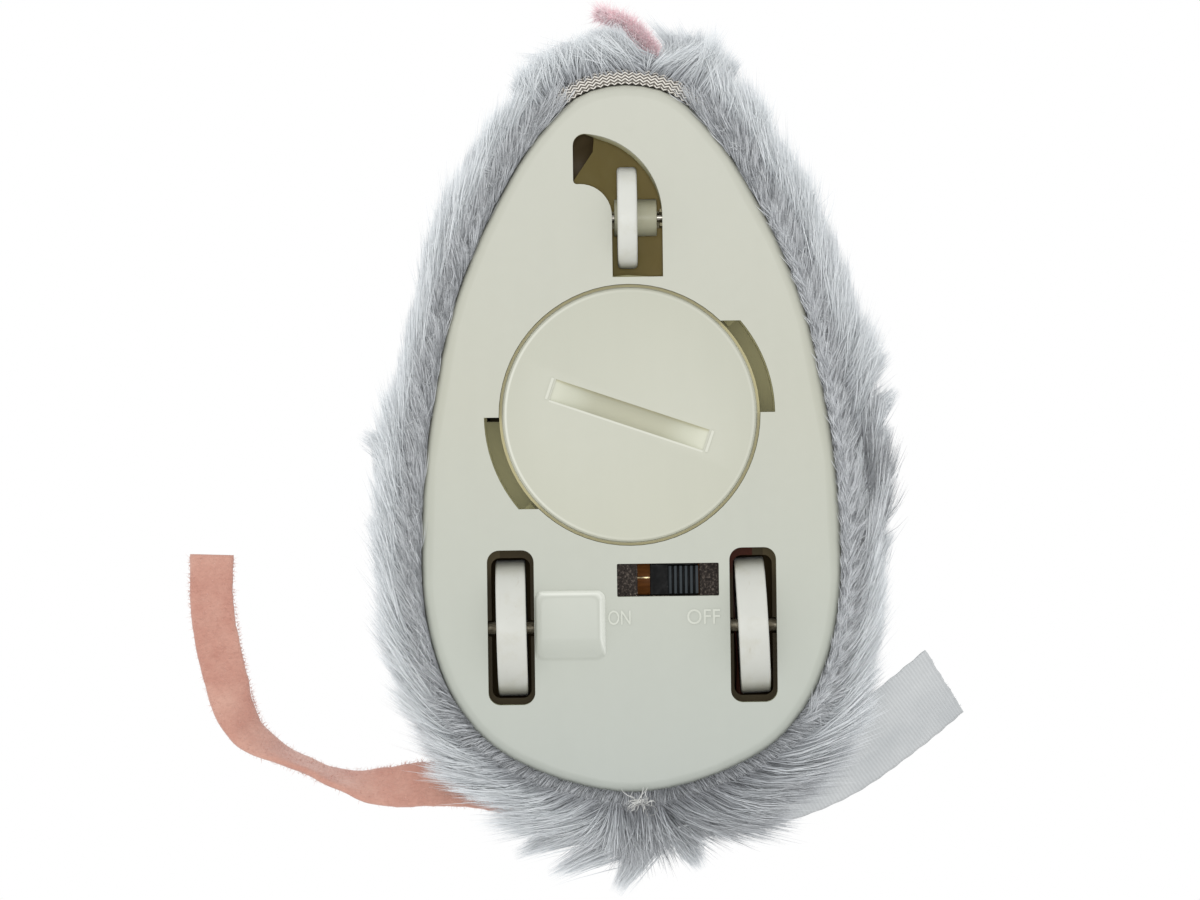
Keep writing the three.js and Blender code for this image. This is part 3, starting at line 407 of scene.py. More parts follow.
def outline_at(s):
    """Point and outward normal at s, 0 to 1 round the outline from the nose by the +X side."""
    f = (np.asarray(s) % 1.0) * OUT_N
    i = np.floor(f).astype(int) % OUT_N
    w = (f - np.floor(f))[:, None]
    j = (i + 1) % OUT_N
    return OUTLINE[i] * (1 - w) + OUTLINE[j] * w, unit(OUT_NORMAL[i] * (1 - w) + OUT_NORMAL[j] * w)


def nearest_s(xy):
    tree = kdtree.KDTree(OUT_N)
    for i, p in enumerate(OUTLINE):
        tree.insert((p[0], p[1], 0), i)
    tree.balance()
    return np.array([tree.find((p[0], p[1], 0))[1] for p in xy]) / OUT_N


def dome(d, z0, top, r):
    """Ring at radius share r of the cover's dome that stands d outside the outline."""
    v = OUTLINE + OUT_NORMAL * d - (0, BODY_CY)
    l = np.linalg.norm(v, axis=1)
    nose = np.maximum(0, -v[:, 1] / l) ** 2
    rear = np.maximum(0, v[:, 1] / l) ** 2
    n = 2.2 - 0.4 * nose + 0.3 * rear
    m = 2.2 - 0.6 * nose + 0.3 * rear
    return np.column_stack([v * r + (0, BODY_CY), z0 + (top - z0) * np.maximum(0, 1 - r**n) ** (1 / m)])


def ring_at(d, z):
    return np.column_stack([OUTLINE + OUT_NORMAL * d, np.full(OUT_N, z)])


# ------------------------------------------------------------------ tail: a felt strip, and the care label: a satin strip
TAIL = [
    (-0.6, 17.4, 4.4, 0), (-5.6, 17.2, 3.9, 0), (-10.4, 15.7, 3.2, 2), (-15.0, 14.65, 2.1, 8), (-19.6, 14.35, 0.9, 18), (-23.8, 14.55, 0.05, 42),
    (-27.3, 14.0, -0.12, 69), (-30.1, 12.9, -0.1, 77), (-32.5, 11.75, -0.12, 75), (-34.6, 10.55, -0.26, 60), (-36.3, 9.0, -0.62, 41), (-37.4, 6.9, -1.0, 26),
    (-38.0, 4.6, -1.3, 16), (-38.6, 2.0, -1.5, 10), (-39.1, -1.0, -1.7, 5), (-39.4, -4.2, -1.8, 2), (-39.3, -7.4, -1.85, 0),
]
LABEL = [
    (1.6, 19.9, 4.4, 84), (7.4, 18.9, 4.3, 76), (13.0, 16.7, 4.1, 60), (18.9, 13.5, 3.9, 48), (24.8, 9.3, 3.7, 45), (29.9, 5.2, 3.4, 44),
]


def strip_frames(route, n):
    """Evenly spaced (centre, along, across, face normal) of a rolled ribbon."""
    p = even(spline(route, False, 24), n)
    c, roll = p[:, :3], np.radians(p[:, 3])[:, None]
    t = unit(np.gradient(c, axis=0))
    side = unit(np.column_stack([-t[:, 1], t[:, 0], np.zeros(n)]))
    up = unit(np.cross(t, side))
    w = side * np.cos(roll) + up * np.sin(roll)
    return c, t, w, unit(np.cross(t, w))


def strip(name, route, width, thick, n, mat, around, wobble=None, edge=2.0, ends=True):
    """A ribbon with a rounded edge; wobble(i, across) gives (sideways, along the face normal) shifts in millimetres."""
    c, t, w, h = strip_frames(route, n)
    a = np.linspace(0, 2 * math.pi, around, endpoint=False)
    ca, sa = np.cos(a), np.sin(a)
    x = np.sign(ca) * np.abs(ca) ** (2 / 6.0)
    y = np.sign(sa) * np.abs(sa) ** (2 / edge)
    verts = np.empty((n, around, 3))
    for i in range(n):
        sx, sh = wobble(i, x) if wobble else (0.0 * x, 0.0 * x)
        verts[i] = c[i] + w[i] * ((x * width / 2 + sx)[:, None]) + h[i] * ((y * thick / 2 + sh)[:, None])
    faces = grid_faces(n, around, True)
    if ends:
        faces += [tuple(range(around))[::-1], tuple((n - 1) * around + k for k in range(around))]
    return make(name, verts.reshape(-1, 3), faces, [mat]), c, t, w, h


def felt_material():
    n = Nodes("felt_salmon")
    at = n.coords()
    f1, f2 = n.noise(at, 260.0, 5.0, 0.6), n.noise(n.stretch(at, (1, 1.6, 1)), 2600.0, 4.0, 0.7)
    a = n.ramp(f1, [(0.3, lin(184, 129, 113)), (0.7, lin(203, 157, 140))])
    b = n.ramp(f2, [(0.25, (0.72, 0.70, 0.70, 1)), (0.6, (1, 1, 1, 1))])
    n.colour(n.mixed(a, b, 0.55, "MULTIPLY"))
    n.set(Roughness=0.92, Sheen_Weight=0.35, Sheen_Roughness=0.6)
    n.bump(f2, 0.55, 0.00018)
    return n.m


def tail():
    rng = np.random.default_rng(31)
    n = 150
    drift_e = np.cumsum(rng.normal(0, 0.05, (n, 2)), axis=0)
    drift_e -= np.linspace(0, 1, n)[:, None] * drift_e[-1]

    def wobble(i, x):
        e = np.where(x > 0, drift_e[i, 0], drift_e[i, 1]) * np.abs(x) ** 3 * 0.5
        bow = 0.10 * math.sin(i * 0.13) * (x * x - 0.4) + 0.05 * np.sin(i * 0.61 + 3 * x)
        return e, bow

    ob, c, t, w, h = strip("tail_felt", TAIL, 4.1, 0.8, n, felt_material(), 26, wobble, 2.4)
    # short loose fibres on faces and edges
    k = 9000
    i = rng.integers(1, n - 1, k)
    x = rng.uniform(-1, 1, k)
    on_edge = rng.random(k) < 0.4
    x = np.where(on_edge, np.sign(x), x)
    face = np.where(rng.random(k) < 0.5, 1.0, -1.0)
    root = c[i] + w[i] * (x * 2.02)[:, None] + h[i] * (face * np.where(on_edge, rng.uniform(-0.2, 0.2, k), 0.36))[:, None]
    out = w[i] * np.where(on_edge, x, 0.0)[:, None] + h[i] * np.where(on_edge, 0.0, face)[:, None]
    d = unit(out * 0.55 + rng.normal(0, 0.6, (k, 3)))
    ln = rng.uniform(0.12, 0.46, k)[:, None] * np.where(on_edge, 1.0, 0.9)[:, None]
    p1, p2 = root + d * ln * 0.5, root + (d + rng.normal(0, 0.35, (k, 3))) * ln
    p2[:, 2] = np.maximum(p2[:, 2], -2.3)
    p1[:, 2] = np.maximum(p1[:, 2], -2.3)
    fuzz = strands(
        "tail_fibres",
        pile_material("felt_fibres", [(0, lin(192, 139, 124)), (1, lin(226, 190, 178))], [(0, (0.85, 0.85, 0.85, 1)), (1, (1, 1, 1, 1))]),
        root, p1, p2, 0.028,
    )
    for o in (ob, fuzz):
        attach(o, "chassis")
    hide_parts("tail")


def satin_material():
    n = Nodes("satin")
    uv = n.add("ShaderNodeUVMap")
    uv.uv_map = "OFBake"
    weave = n.stretch(uv.outputs["UV"], (330.0, 100.0, 1.0))
    wave = n.add("ShaderNodeTexWave")
    wave.wave_type, wave.bands_direction = "BANDS", "Y"
    wave.inputs["Scale"].default_value = 0.32
    wave.inputs["Distortion"].default_value = 0.6
    wave.inputs["Detail"].default_value = 2.0
    n.link(weave, wave.inputs["Vector"])
    slub = n.noise(n.stretch(uv.outputs["UV"], (6.0, 90.0, 1.0)), 4.0, 4.0, 0.6)
    soft = n.noise(uv.outputs["UV"], 5.0, 2.0)
    a = n.ramp(soft, [(0.3, lin(183, 187, 189)), (0.7, lin(199, 202, 203))])
    b = n.ramp(slub, [(0.3, (0.90, 0.90, 0.90, 1)), (0.65, (1, 1, 1, 1))])
    rib = n.ramp(wave.outputs["Fac"], [(0.2, (0.90, 0.90, 0.90, 1)), (0.7, (1, 1, 1, 1))])
    n.colour(n.mixed(n.mixed(a, b, 0.8, "MULTIPLY"), rib, 1.0, "MULTIPLY"))
    n.set(Roughness=0.42, Sheen_Weight=0.2, Anisotropic=0.3)
    n.bump(n.mixed(wave.outputs["Color"], b, 0.35), 0.7, 0.00006)
    return n.m


def label():
    """Satin strip, folded into the seam, with a heat-cut far end."""
    rng = np.random.default_rng(12)
    n, m = 120, 25
    c, t, w, h = strip_frames(LABEL, n)
    x = np.linspace(-1, 1, m)
    verts, thick, width = [], 0.22, 10.0
    teeth = rng.normal(0, 0.035, m)
    for side in (1, -1):
        for i in range(n):
            u = i / (n - 1)
            bow = 0.28 * math.sin(2.4 * u + 0.4) * (1 - x * x) + 0.10 * np.sin(5 * u + 1.6 * x)
            edge = 0.05 * np.sin(i * 0.9) * (np.abs(x) > 0.98)
            skew = t[i] * (teeth * max(0.0, u - 0.985) / 0.015 - 0.55 * (1 + x) * max(0.0, (u - 0.6) / 0.4) ** 2)[:, None]
            verts.append(c[i] + w[i] * ((x * width / 2 + edge)[:, None]) + h[i] * ((bow + side * thick / 2)[:, None]) + skew)
    verts = np.concatenate(verts)
    a = n * m
    faces = grid_faces(n, m) + [f[::-1] for f in grid_faces(n, m, False, a)]
    for i in range(n - 1):
        faces += [(i * m, (i + 1) * m, a + (i + 1) * m, a + i * m), (a + i * m + m - 1, a + (i + 1) * m + m - 1, (i + 1) * m + m - 1, i * m + m - 1)]
    for j in range(m - 1):
        e = (n - 1) * m
        faces += [(j, a + j, a + j + 1, j + 1), (e + j + 1, a + e + j + 1, a + e + j, e + j)]
    ob = make("label_satin", verts, faces, [satin_material()])
    me = ob.data
    uv = me.uv_layers.new(name="OFBake")
    flat = np.empty((2, n, m, 2))
    for k in range(2):
        flat[k, ..., 0] = 0.02 + 0.46 * (x[None, :] + 1) / 2 + 0.5 * k
        flat[k, ..., 1] = 0.02 + 0.96 * np.linspace(0, 1, n)[:, None]
    flat = flat.reshape(-1, 2)
    loops = np.empty(len(me.loops), np.int32)
    me.loops.foreach_get("vertex_index", loops)
    uv.data.foreach_set("uv", flat[loops].astype(np.float32).ravel())
    # a few loose threads at the cut end
    k = 26
    j = rng.uniform(-1, 1, k)
    root = c[-1] + w[-1] * (j * 4.95)[:, None] + h[-1] * rng.uniform(-0.08, 0.08, k)[:, None] - t[-1] * (0.55 * (1 + j))[:, None]
    d = unit(t[-1] + rng.normal(0, 0.45, (k, 3)))
    ln = rng.uniform(0.10, 0.26, k)[:, None]
    threads = strands(
        "label_threads",
        pile_material("satin_threads", [(0, lin(176, 180, 182)), (1, lin(204, 207, 208))], [(0, (0.85, 0.85, 0.85, 1)), (1, (1, 1, 1, 1))]),
        root - t[-1] * 0.15, root + d * ln * 0.5, root + (d + rng.normal(0, 0.3, (k, 3))) * ln, 0.05,
    )
    for o in (ob, threads):
        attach(o, "chassis")
    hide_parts("care_label")


# ------------------------------------------------------------------ plush cover
REACH = [  # how far the pile stands past the plate's outline, millimetres, evenly round from the nose by the +X side
    4.4, 5.4, 4.6, 4.5, 4.5, 4.5, 4.5, 4.7, 5.2, 3.9, 4.7, 4.2, 3.4, 3.4, 3.6, 4.0, 5.0, 6.2,
    6.3, 5.2, 4.1, 3.9, 3.5, 3.4, 3.3, 3.7, 4.4, 3.6, 3.1, 2.9, 3.4, 4.1, 4.2, 3.8, 3.8, 4.3,
]
LOCKS = [  # loose locks that stand out of the pile: root and tip, millimetres
    ((-3.0, 18.4, 1.4), (-10.9, 21.0, 0.8)), ((0.4, 19.6, 1.4), (-7.6, 23.0, 0.9)), ((1.4, 19.2, 1.2), (-1.7, 24.6, 0.8)), ((4.2, 18.2, 1.4), (6.0, 22.6, 1.0)),
    ((20.2, -21.0, 3.2), (24.4, -25.4, 3.2)), ((20.4, -18.0, 3.2), (25.0, -22.0, 3.2)), ((20.7, -14.8, 3.2), (24.6, -18.4, 3.2)),
    ((-20.4, -14.2, 2.8), (-25.0, -18.4, 2.6)), ((-20.6, -7.0, 3.2), (-24.6, -10.4, 3.0)), ((20.6, -4.4, 3.2), (24.4, -8.6, 3.2)),
    ((1.6, -52.5, 1.5), (-1.0, -56.5, 1.9)), ((0.4, -52.5, 1.6), (-2.1, -56.4, 2.1)), ((-0.9, -52.4, 1.7), (-3.1, -56.3, 2.2)),
    ((4.4, -51.6, 2.6), (4.7, -56.2, 3.0)), ((5.8, -51.0, 2.4), (7.2, -56.2, 2.8)), ((7.8, -49.6, 2.2), (10.6, -53.4, 2.6)), ((10.6, -45.8, 2.0), (13.2, -48.8, 2.4)),
    ((-1.4, -52.0, 2.6), (-3.0, -56.2, 3.0)), ((-4.4, -51.0, 2.4), (-7.0, -54.4, 2.8)), ((-7.6, -48.6, 2.0), (-10.6, -51.6, 2.4)),
]
EYES = [(10.4, -43.0, 15.4), (-10.4, -43.0, 15.4)]
EARS = [(10.2, -27.5, 27.0, 1.0), (-10.2, -27.5, 27.0, -1.0)]


def reach_at(s):
    return np.interp((np.asarray(s) % 1.0) * 36, np.arange(37), REACH + REACH[:1])


def smooth(a, lo, hi):
    t = np.clip((a - lo) / (hi - lo), 0, 1)
    return t * t * (3 - 2 * t)


def backing_rings():
    rings = [ring_at(1.35, 1.5), ring_at(1.75, 2.3), ring_at(2.1, 3.6)]
    rings += [dome(2.2, 5.3, 30.6, r) for r in (1, 0.995, 0.985, 0.965, 0.935, 0.89, 0.83, 0.75, 0.66, 0.56, 0.46, 0.36, 0.26, 0.16, 0.07)]
    return rings


def cloth_material():
    n = Nodes("knit_backing")
    at = n.coords()
    f = n.noise(at, 1500.0, 4.0, 0.6)
    x, y, z = n.axes(at)
    # painted shade: the backing is darker below about 8 mm, under the fringe next to the plate
    low = n.ramp(n.between(z, 0.0034, 0.008, 0.0, 1.0), [(0.0, (0.32, 0.32, 0.33, 1)), (1.0, (1, 1, 1, 1))])
    n.colour(n.mixed(n.ramp(f, [(0.3, lin(168, 171, 175)), (0.7, lin(194, 197, 200))]), low, 1.0, "MULTIPLY"))
    n.set(Roughness=0.95)
    n.bump(f, 0.6, 0.0002)
    return n.m


def fur_surface():
    rings = backing_rings()
    v = np.concatenate([r[::2] for r in rings] + [[(0, BODY_CY, 30.6)]])
    m = OUT_N // 2
    f = grid_faces(len(rings), m, True)
    last = (len(rings) - 1) * m
    f += [(last + j, last + (j + 1) % m, len(v) - 1) for j in range(m)]
    return v, f


def triangles(v, f):
    tri = np.array([(q[0], q[1], q[2]) for q in f] + [(q[0], q[2], q[3]) for q in f if len(q) == 4])
    a, b, c = v[tri[:, 0]], v[tri[:, 1]], v[tri[:, 2]]
    cr = np.cross(b - a, c - a)
    area = np.linalg.norm(cr, axis=1) / 2
    nv = np.zeros_like(v)
    for k in range(3):
        np.add.at(nv, tri[:, k], cr)
    return tri, area, unit(nv)


def scatter(v, tri, area, nv, n, weight=None):
    p = area if weight is None else area * weight
    i = RNG.choice(len(tri), n, p=p / p.sum())
    u, w = RNG.random(n), RNG.random(n)
    flip = u + w > 1
    u[flip], w[flip] = 1 - u[flip], 1 - w[flip]
    k = np.column_stack([1 - u - w, u, w])[:, :, None]
    return (v[tri[i]] * k).sum(1), unit((nv[tri[i]] * k).sum(1))


# darker toward the root: painted shade among the strands
GREY_STOPS = [(0.0, lin(156, 159, 163)), (0.22, lin(196, 200, 203)), (0.55, lin(219, 223, 225)), (1.0, lin(237, 240, 242))]
GREY_SPREAD = [(0.0, (0.43, 0.43, 0.44, 1)), (0.3, (0.82, 0.82, 0.83, 1)), (0.6, (0.95, 0.95, 0.95, 1)), (1.0, (1.0, 1.0, 1.0, 1))]
PART_X = 2.0  # where the pile parts at the nose


def nap(p, nrm):
    """Direction in which the pile lies, tangent to the cover: up the rump and over the back to the nose, but outward and down at the rear edge."""
    edge = (smooth(p[:, 1], -4.0, 11.0) * (1 - smooth(p[:, 2], 5.5, 10.0)))[:, None]
    over = np.column_stack([0 * p[:, 0], -1 + 0 * p[:, 1], -0.22 + 1.1 * smooth(p[:, 1], -8.0, 12.0)])
    t = over * (1 - edge) + edge * np.column_stack([p[:, 0] * 0.05, 0.35 - 1.0 * (1 - smooth(p[:, 1], 4.0, 13.0)), -0.8 + 0 * p[:, 1]])
    t[:, 0] += 0.8 * np.sign(p[:, 0] - PART_X) * (1 - smooth(p[:, 1], -50.0, -42.0)) * np.exp(-np.abs(p[:, 0] - PART_X) / 7.0)
    t = t - nrm * (t * nrm).sum(1, keepdims=True)
    return unit(t)


def by_lock(p0, size, seed):
    """One random value, about normal, shared by the strands that grow near each other."""
    return drift(p0, size, seed)[:, 0] * 1.3


def plush():
    v, f = fur_surface()
    tri, area, nv = triangles(v, f)
    backing = make("plush_backing", v, f, [cloth_material()])
    cloth = float(area.sum())

    # --- the cover's own pile
    n = 100000
    mid_y = v[tri].mean(1)[:, 1]
    root, nrm = scatter(v, tri, area, nv, n, 1 + 0.8 * (1 - smooth(mid_y, -47.0, -34.0)))
    s = nearest_s(root[:, :2])
    low = 1 - smooth(root[:, 2], 8.0, 17.0)
    face = (1 - smooth(root[:, 1], -47.0, -36.0)) * smooth(root[:, 2], 4.0, 8.0)
    eye = np.min([np.linalg.norm(root - np.array(e), axis=1) for e in EYES], axis=0)
    ear = np.min([np.linalg.norm((root - np.array(e[:3])) * (1, 1, 0.6), axis=1) for e in EARS], axis=0)
    tab = np.exp(-(((root[:, 0] - PART_X) / 1.5) ** 2)) * (1 - smooth(root[:, 1], -50.5, -46.0)) * (1 - smooth(root[:, 2], 9.0, 13.0))
    length = 7.2 * (1 + RNG.normal(0, 0.10, n)) * (1 - 0.52 * face) * (0.55 + 0.45 * smooth(eye, 2.6, 6.5)) * (0.75 + 0.25 * smooth(ear, 2.5, 5.0))
    length *= 1 - 0.55 * tab
    tuft = 1 + 0.16 * by_lock(root, 3.2, 7.0)
    want = np.where(low > 0, (reach_at(s) - 2.2) * tuft * RNG.normal(0.90, 0.08, n), 3.0)
    lift = np.clip((want * low + 3.0 * (1 - low)) / length, 0.16, 0.86)
    lift = lift * (1 - 0.25 * face) * (1 - 0.6 * tab)
    lie = nap(root, nrm)
    wind = drift(root, 7.0, 1.0) * 0.30 + drift(root, 2.6, 2.0) * 0.22
    wind -= nrm * (wind * nrm).sum(1, keepdims=True)
    flat = unit(lie + wind + RNG.normal(0, 0.12, (n, 3)))
    flat = unit(flat - nrm * (flat * nrm).sum(1, keepdims=True))
    lift = np.clip(lift * (1 + 0.35 * drift(root, 5.0, 3.0)[:, 0]), 0.12, 0.92)[:, None]
    ln = length[:, None]
    along = np.sqrt(1 - lift**2)
    p1 = root + ln * (nrm * lift * 0.72 + flat * along * 0.34)
    p2 = root + ln * (nrm * lift + flat * along)
    keep = (eye > 2.75) & (ear > 1.2)
    root, p1, p2, s = root[keep], p1[keep], p2[keep], s[keep]
    root, p1, p2 = clumped(root, p1, p2, 34, 0.28, (0.46 + 0.18 * low)[keep])
    held = 1 - 0.3 * smooth(root[:, 1], 5.0, 10.0)  # the fringe lies in front
    p1[:, 2], p2[:, 2] = np.maximum(p1[:, 2], -1.2 + 3.0 * held), np.maximum(p2[:, 2], -1.6 + 3.2 * held)
    width = RNG.uniform(0.055, 0.10, len(root))
    mat = pile_material("pile_grey", GREY_STOPS, GREY_SPREAD)
    # paler-rooted copies of the grey pile for the cover and the face: painted light against the shade among their roots
    over = pile_material("pile_grey_over", [(0.0, lin(184, 187, 190)), (0.3, lin(204, 208, 210)), (0.6, lin(221, 225, 227)), (1.0, lin(238, 241, 243))], GREY_SPREAD)
    fore = pile_material("pile_grey_face", [(0.0, lin(208, 211, 213)), (0.4, lin(222, 225, 227)), (1.0, lin(240, 243, 245))], GREY_SPREAD)
    zone = np.where(root[:, 2] > 19, np.where(root[:, 1] < -17, 5, 0), np.where(root[:, 1] < -30, 1, np.where(root[:, 1] > 6, 2, np.where(root[:, 0] > 0, 3, 4))))
    pieces = []
    for k, name in enumerate(("pile_back", "pile_face", "pile_rump", "pile_flank_left", "pile_flank_right", "pile_crown")):
        at = zone == k
        pieces.append(strands(name, fore if k == 1 else over, root[at], p1[at], p2[at], width[at], 0.35 + 0.65 * RNG.random(int(at.sum()))))

    # --- the fringe along the lower edge
    n = 44000
    s = RNG.random(n)
    at, out = outline_at(s)
    front = 1 - smooth(at[:, 1], -49.5, -45.0)
    rear = smooth(at[:, 1], 6.0, 13.0)
    hang = smooth(at[:, 1], 7.0, 12.5)  # covers the roots of the tail and the label
    part = np.exp(-(((at[:, 0] - PART_X) / 1.0) ** 2)) * front
    groove = (at[:, 0] > 0) * smooth(at[:, 1], -18.5, -16.0) * (1 - smooth(at[:, 1], -8.5, -5.5))
    d0 = RNG.uniform(1.25, 2.5, n) - 0.35 * front - 0.5 * rear + 0.9 * groove
    z0 = RNG.uniform(0.5, 2.6, n) * (1 - hang) + RNG.uniform(-0.6, 1.8, n) * hang - 0.3 * front
    z0 = z0 + 1.2 * groove
    root = np.column_stack([at + out * d0[:, None], z0])
    o3 = np.column_stack([out, np.zeros(n)])
    fore = (1 - 0.06 * (at[:, 0] < 0) * smooth(at[:, 1], -2.0, 12.0)) * (1 - 0.18 * smooth(at[:, 1], -2.0, 12.0)) * smooth(np.abs(at[:, 0] - 0.5), 0.3, 5.0)
    lie = np.column_stack([-out[:, 1], out[:, 0], np.zeros(n)]) * (fore * np.where(at[:, 0] > 0.5, -1.0, 1.0) * (1 - 0.6 * front))[:, None]
    lie[:, 0] += 0.75 * front * np.sign(at[:, 0] - PART_X) * np.exp(-np.abs(at[:, 0] - PART_X) / 6.0)
    side = np.column_stack([-out[:, 1], out[:, 0], np.zeros(n)])
    wind = drift(root * (1, 1, 0.4), 6.0, 4.0) * 0.36 + drift(root * (1, 1, 0.4), 2.2, 5.0) * 0.26
    flat = lie * 1.0 + side * wind[:, :1] * 1.0 + side * RNG.normal(0, 0.14, (n, 1))
    length = RNG.uniform(4.6, 7.4, n) + rear * np.where(at[:, 0] < -6, 1.7, 2.6)
    tuft = 1 + 0.20 * by_lock(root * (1, 1, 0.5), 2.6, 8.0)
    ext = np.clip((reach_at(s) * tuft * (1 - 0.42 * part) * RNG.normal(0.90, 0.08 + 0.10 * (1 - rear) * (1 - front), n) - d0) / length, 0.10, 0.95)
    ext = np.clip(ext * (1 + 0.20 * wind[:, 1]), 0.08, 0.96)[:, None]
    fall = (RNG.normal(-0.02, 0.09, n) - 0.16 * hang + 0.08 * wind[:, 2])[:, None]
    along = np.sqrt(np.maximum(0.0, 1 - ext**2)) * np.minimum(1.0, np.linalg.norm(flat, axis=1, keepdims=True) * 1.2) * (1 - 0.45 * part[:, None])
    flat = unit(flat)
    ln = length[:, None]
    p1 = root + ln * (o3 * ext * 0.62 + flat * along * 0.30) + ln * fall * 0.8 * (0, 0, 1)
    p2 = root + ln * (o3 * ext + flat * along) + ln * fall * 0.9 * (0, 0, 1)
    width = RNG.uniform(0.05, 0.09, n)
    tone = 0.3 + 0.7 * RNG.random(n)
    # painted shade: darker strands in the groove on the +X flank and next to the plate, most on the +X side; painted
    # light: paler strands on the -X side and toward the nose; darker at the rear round x = 1 and x = 8 mm
    tone += 0.10 - 0.45 * rear * np.exp(-(((at[:, 0] - 1.0) / 3.2) ** 2))
    tone -= 0.45 * (d0 < 1.75) * np.where(at[:, 0] > 0, 1.0, 0.3) * smooth(at[:, 1], -26.0, -18.0) * (1 - smooth(at[:, 1], -4.0, 2.0))
    tone -= 0.16 * rear + 0.46 * rear * np.exp(-(((at[:, 0] - 8.0) / 6.0) ** 2))
    tone += groove * np.where(d0 < 2.85, -0.95, 0.2)
    tone += 0.28 * (at[:, 0] < 0) * (1 - rear) + 0.26 * (1 - smooth(at[:, 1], -38.0, -26.0))
    tone = np.clip(tone, 0.0, 1.0)
    right = root[:, 0] > np.where(root[:, 1] < -30, PART_X, 0.0)
    for name, pick in (("pile_fringe_left", right), ("pile_fringe_right", ~right)):
        a, b, c = clumped(root[pick], p1[pick], p2[pick], 26, 0.32, (0.46 + 0.22 * np.maximum(rear, front))[pick])
        loose = RNG.normal(0, 1.0, (len(c), 3)) * (1, 1, 0.5)
        b, c = b + loose * 0.10 + RNG.normal(0, 0.10, b.shape), c + loose * 0.38
        b[:, 2], c[:, 2] = np.clip(b[:, 2], -1.5, 4.5), np.clip(c[:, 2], -1.9, 5.5)
        pieces.append(strands(name, mat, a, b, c, width[pick], tone[pick]))

    # --- short pile over the edge seam, lying along it and crossing
    n = 30000
    s = RNG.random(n)
    at, out = outline_at(s)
    ok = RNG.random(n) < smooth(at[:, 1], -49.6, -46.4)
    s, at, out = s[ok], at[ok], out[ok]
    n = len(s)
    round_rear = smooth(at[:, 1], 4.0, 11.0)[:, None]
    d0 = -0.06 + 1.5 * RNG.random(n) ** 1.8 - 0.2 * round_rear[:, 0]
    root = np.column_stack([at + out * d0[:, None], 0.12 + RNG.uniform(-0.12, 0.5, n)])
    o3 = np.column_stack([out, np.zeros(n)])
    side = np.column_stack([-out[:, 1], out[:, 0], np.zeros(n)]) * np.where(at[:, 0] > 0, -1.0, 1.0)[:, None]
    lock = by_lock(root, 1.6, 9.0)[:, None]
    cross = 0.22 + 0.20 * lock + RNG.normal(0, 0.14, (n, 1))
    back = np.where(RNG.random((n, 1)) < 0.10, -1.0, 1.0)
    flank = side * back * RNG.uniform(0.8, 1.1, (n, 1)) + o3 * cross
    tailward = o3 * RNG.uniform(0.6, 1.1, (n, 1)) + side * (0.45 * smooth(np.abs(at[:, 0] - 0.5), 0.3, 5.0)[:, None] + 0.2 * lock + RNG.normal(0, 0.2, (n, 1)))
    d = unit(flank * (1 - round_rear) + tailward * round_rear)
    ln = RNG.uniform(1.5, 3.6, n)[:, None] * (1 - 0.4 * round_rear)
    p1 = root + d * ln * 0.5 + RNG.normal(0, 0.07, (n, 3)) - o3 * 0.06
    p2 = root + d * ln + o3 * ln * 0.10 + RNG.normal(0, 0.14, (n, 3))
    p1[:, 2], p2[:, 2] = np.clip(p1[:, 2], -0.25, 1.2), np.clip(p2[:, 2], -0.35, 1.4)
    root, p1, p2 = clumped(root, p1, p2, 9, 0.45, 0.45)
    seam = pile_material("pile_seam", [(0.0, lin(130, 133, 136)), (0.45, lin(188, 191, 194)), (1.0, lin(222, 225, 227))], GREY_SPREAD)
    # painted light: paler strands on the -X side; darker at the rear round x = 6 mm
    tone = np.clip(0.3 + 0.7 * RNG.random(n) + 0.14 * (at[:, 0] < 0) * (1 - round_rear[:, 0]) - 0.36 * round_rear[:, 0] * np.exp(-(((at[:, 0] - 6.0) / 7.0) ** 2)), 0.0, 1.0)
    pieces.append(strands("pile_seam", seam, root, p1, p2, RNG.uniform(0.045, 0.085, n), tone))

    # --- paler strands crossing each other like a plait, along the left flank's edge
    n = 9000
    s = RNG.uniform(0.115, 0.40, n)
    at, out = outline_at(s)
    arc = s * 188.0
    turn = np.sin(arc * 2 * math.pi / 2.1 + 0.8 * np.sin(arc * 0.7))
    d0 = 0.50 + 0.28 * turn + RNG.normal(0, 0.16, n)
    root = np.column_stack([at + out * d0[:, None], RNG.uniform(-0.12, 0.25, n)])
    o3 = np.column_stack([out, np.zeros(n)])
    side = np.column_stack([out[:, 1], -out[:, 0], np.zeros(n)])
    d = unit(side + o3 * (-0.42 * np.sign(turn) * np.abs(turn) ** 0.5 + 0.12 + RNG.normal(0, 0.10, n))[:, None])
    ln = RNG.uniform(1.3, 2.5, n)[:, None]
    p1, p2 = root + d * ln * 0.5 + RNG.normal(0, 0.05, (n, 3)), root + d * ln + RNG.normal(0, 0.10, (n, 3))
    p1[:, 2], p2[:, 2] = np.clip(p1[:, 2], -0.3, 0.6), np.clip(p2[:, 2], -0.3, 0.7)
    plait = pile_material("pile_plait", [(0.0, lin(140, 143, 146)), (0.4, lin(196, 199, 202)), (1.0, lin(226, 229, 231))], GREY_SPREAD)
    pieces.append(strands("pile_plait", plait, root, p1, p2, RNG.uniform(0.045, 0.08, n), 0.3 + 0.7 * RNG.random(n)))

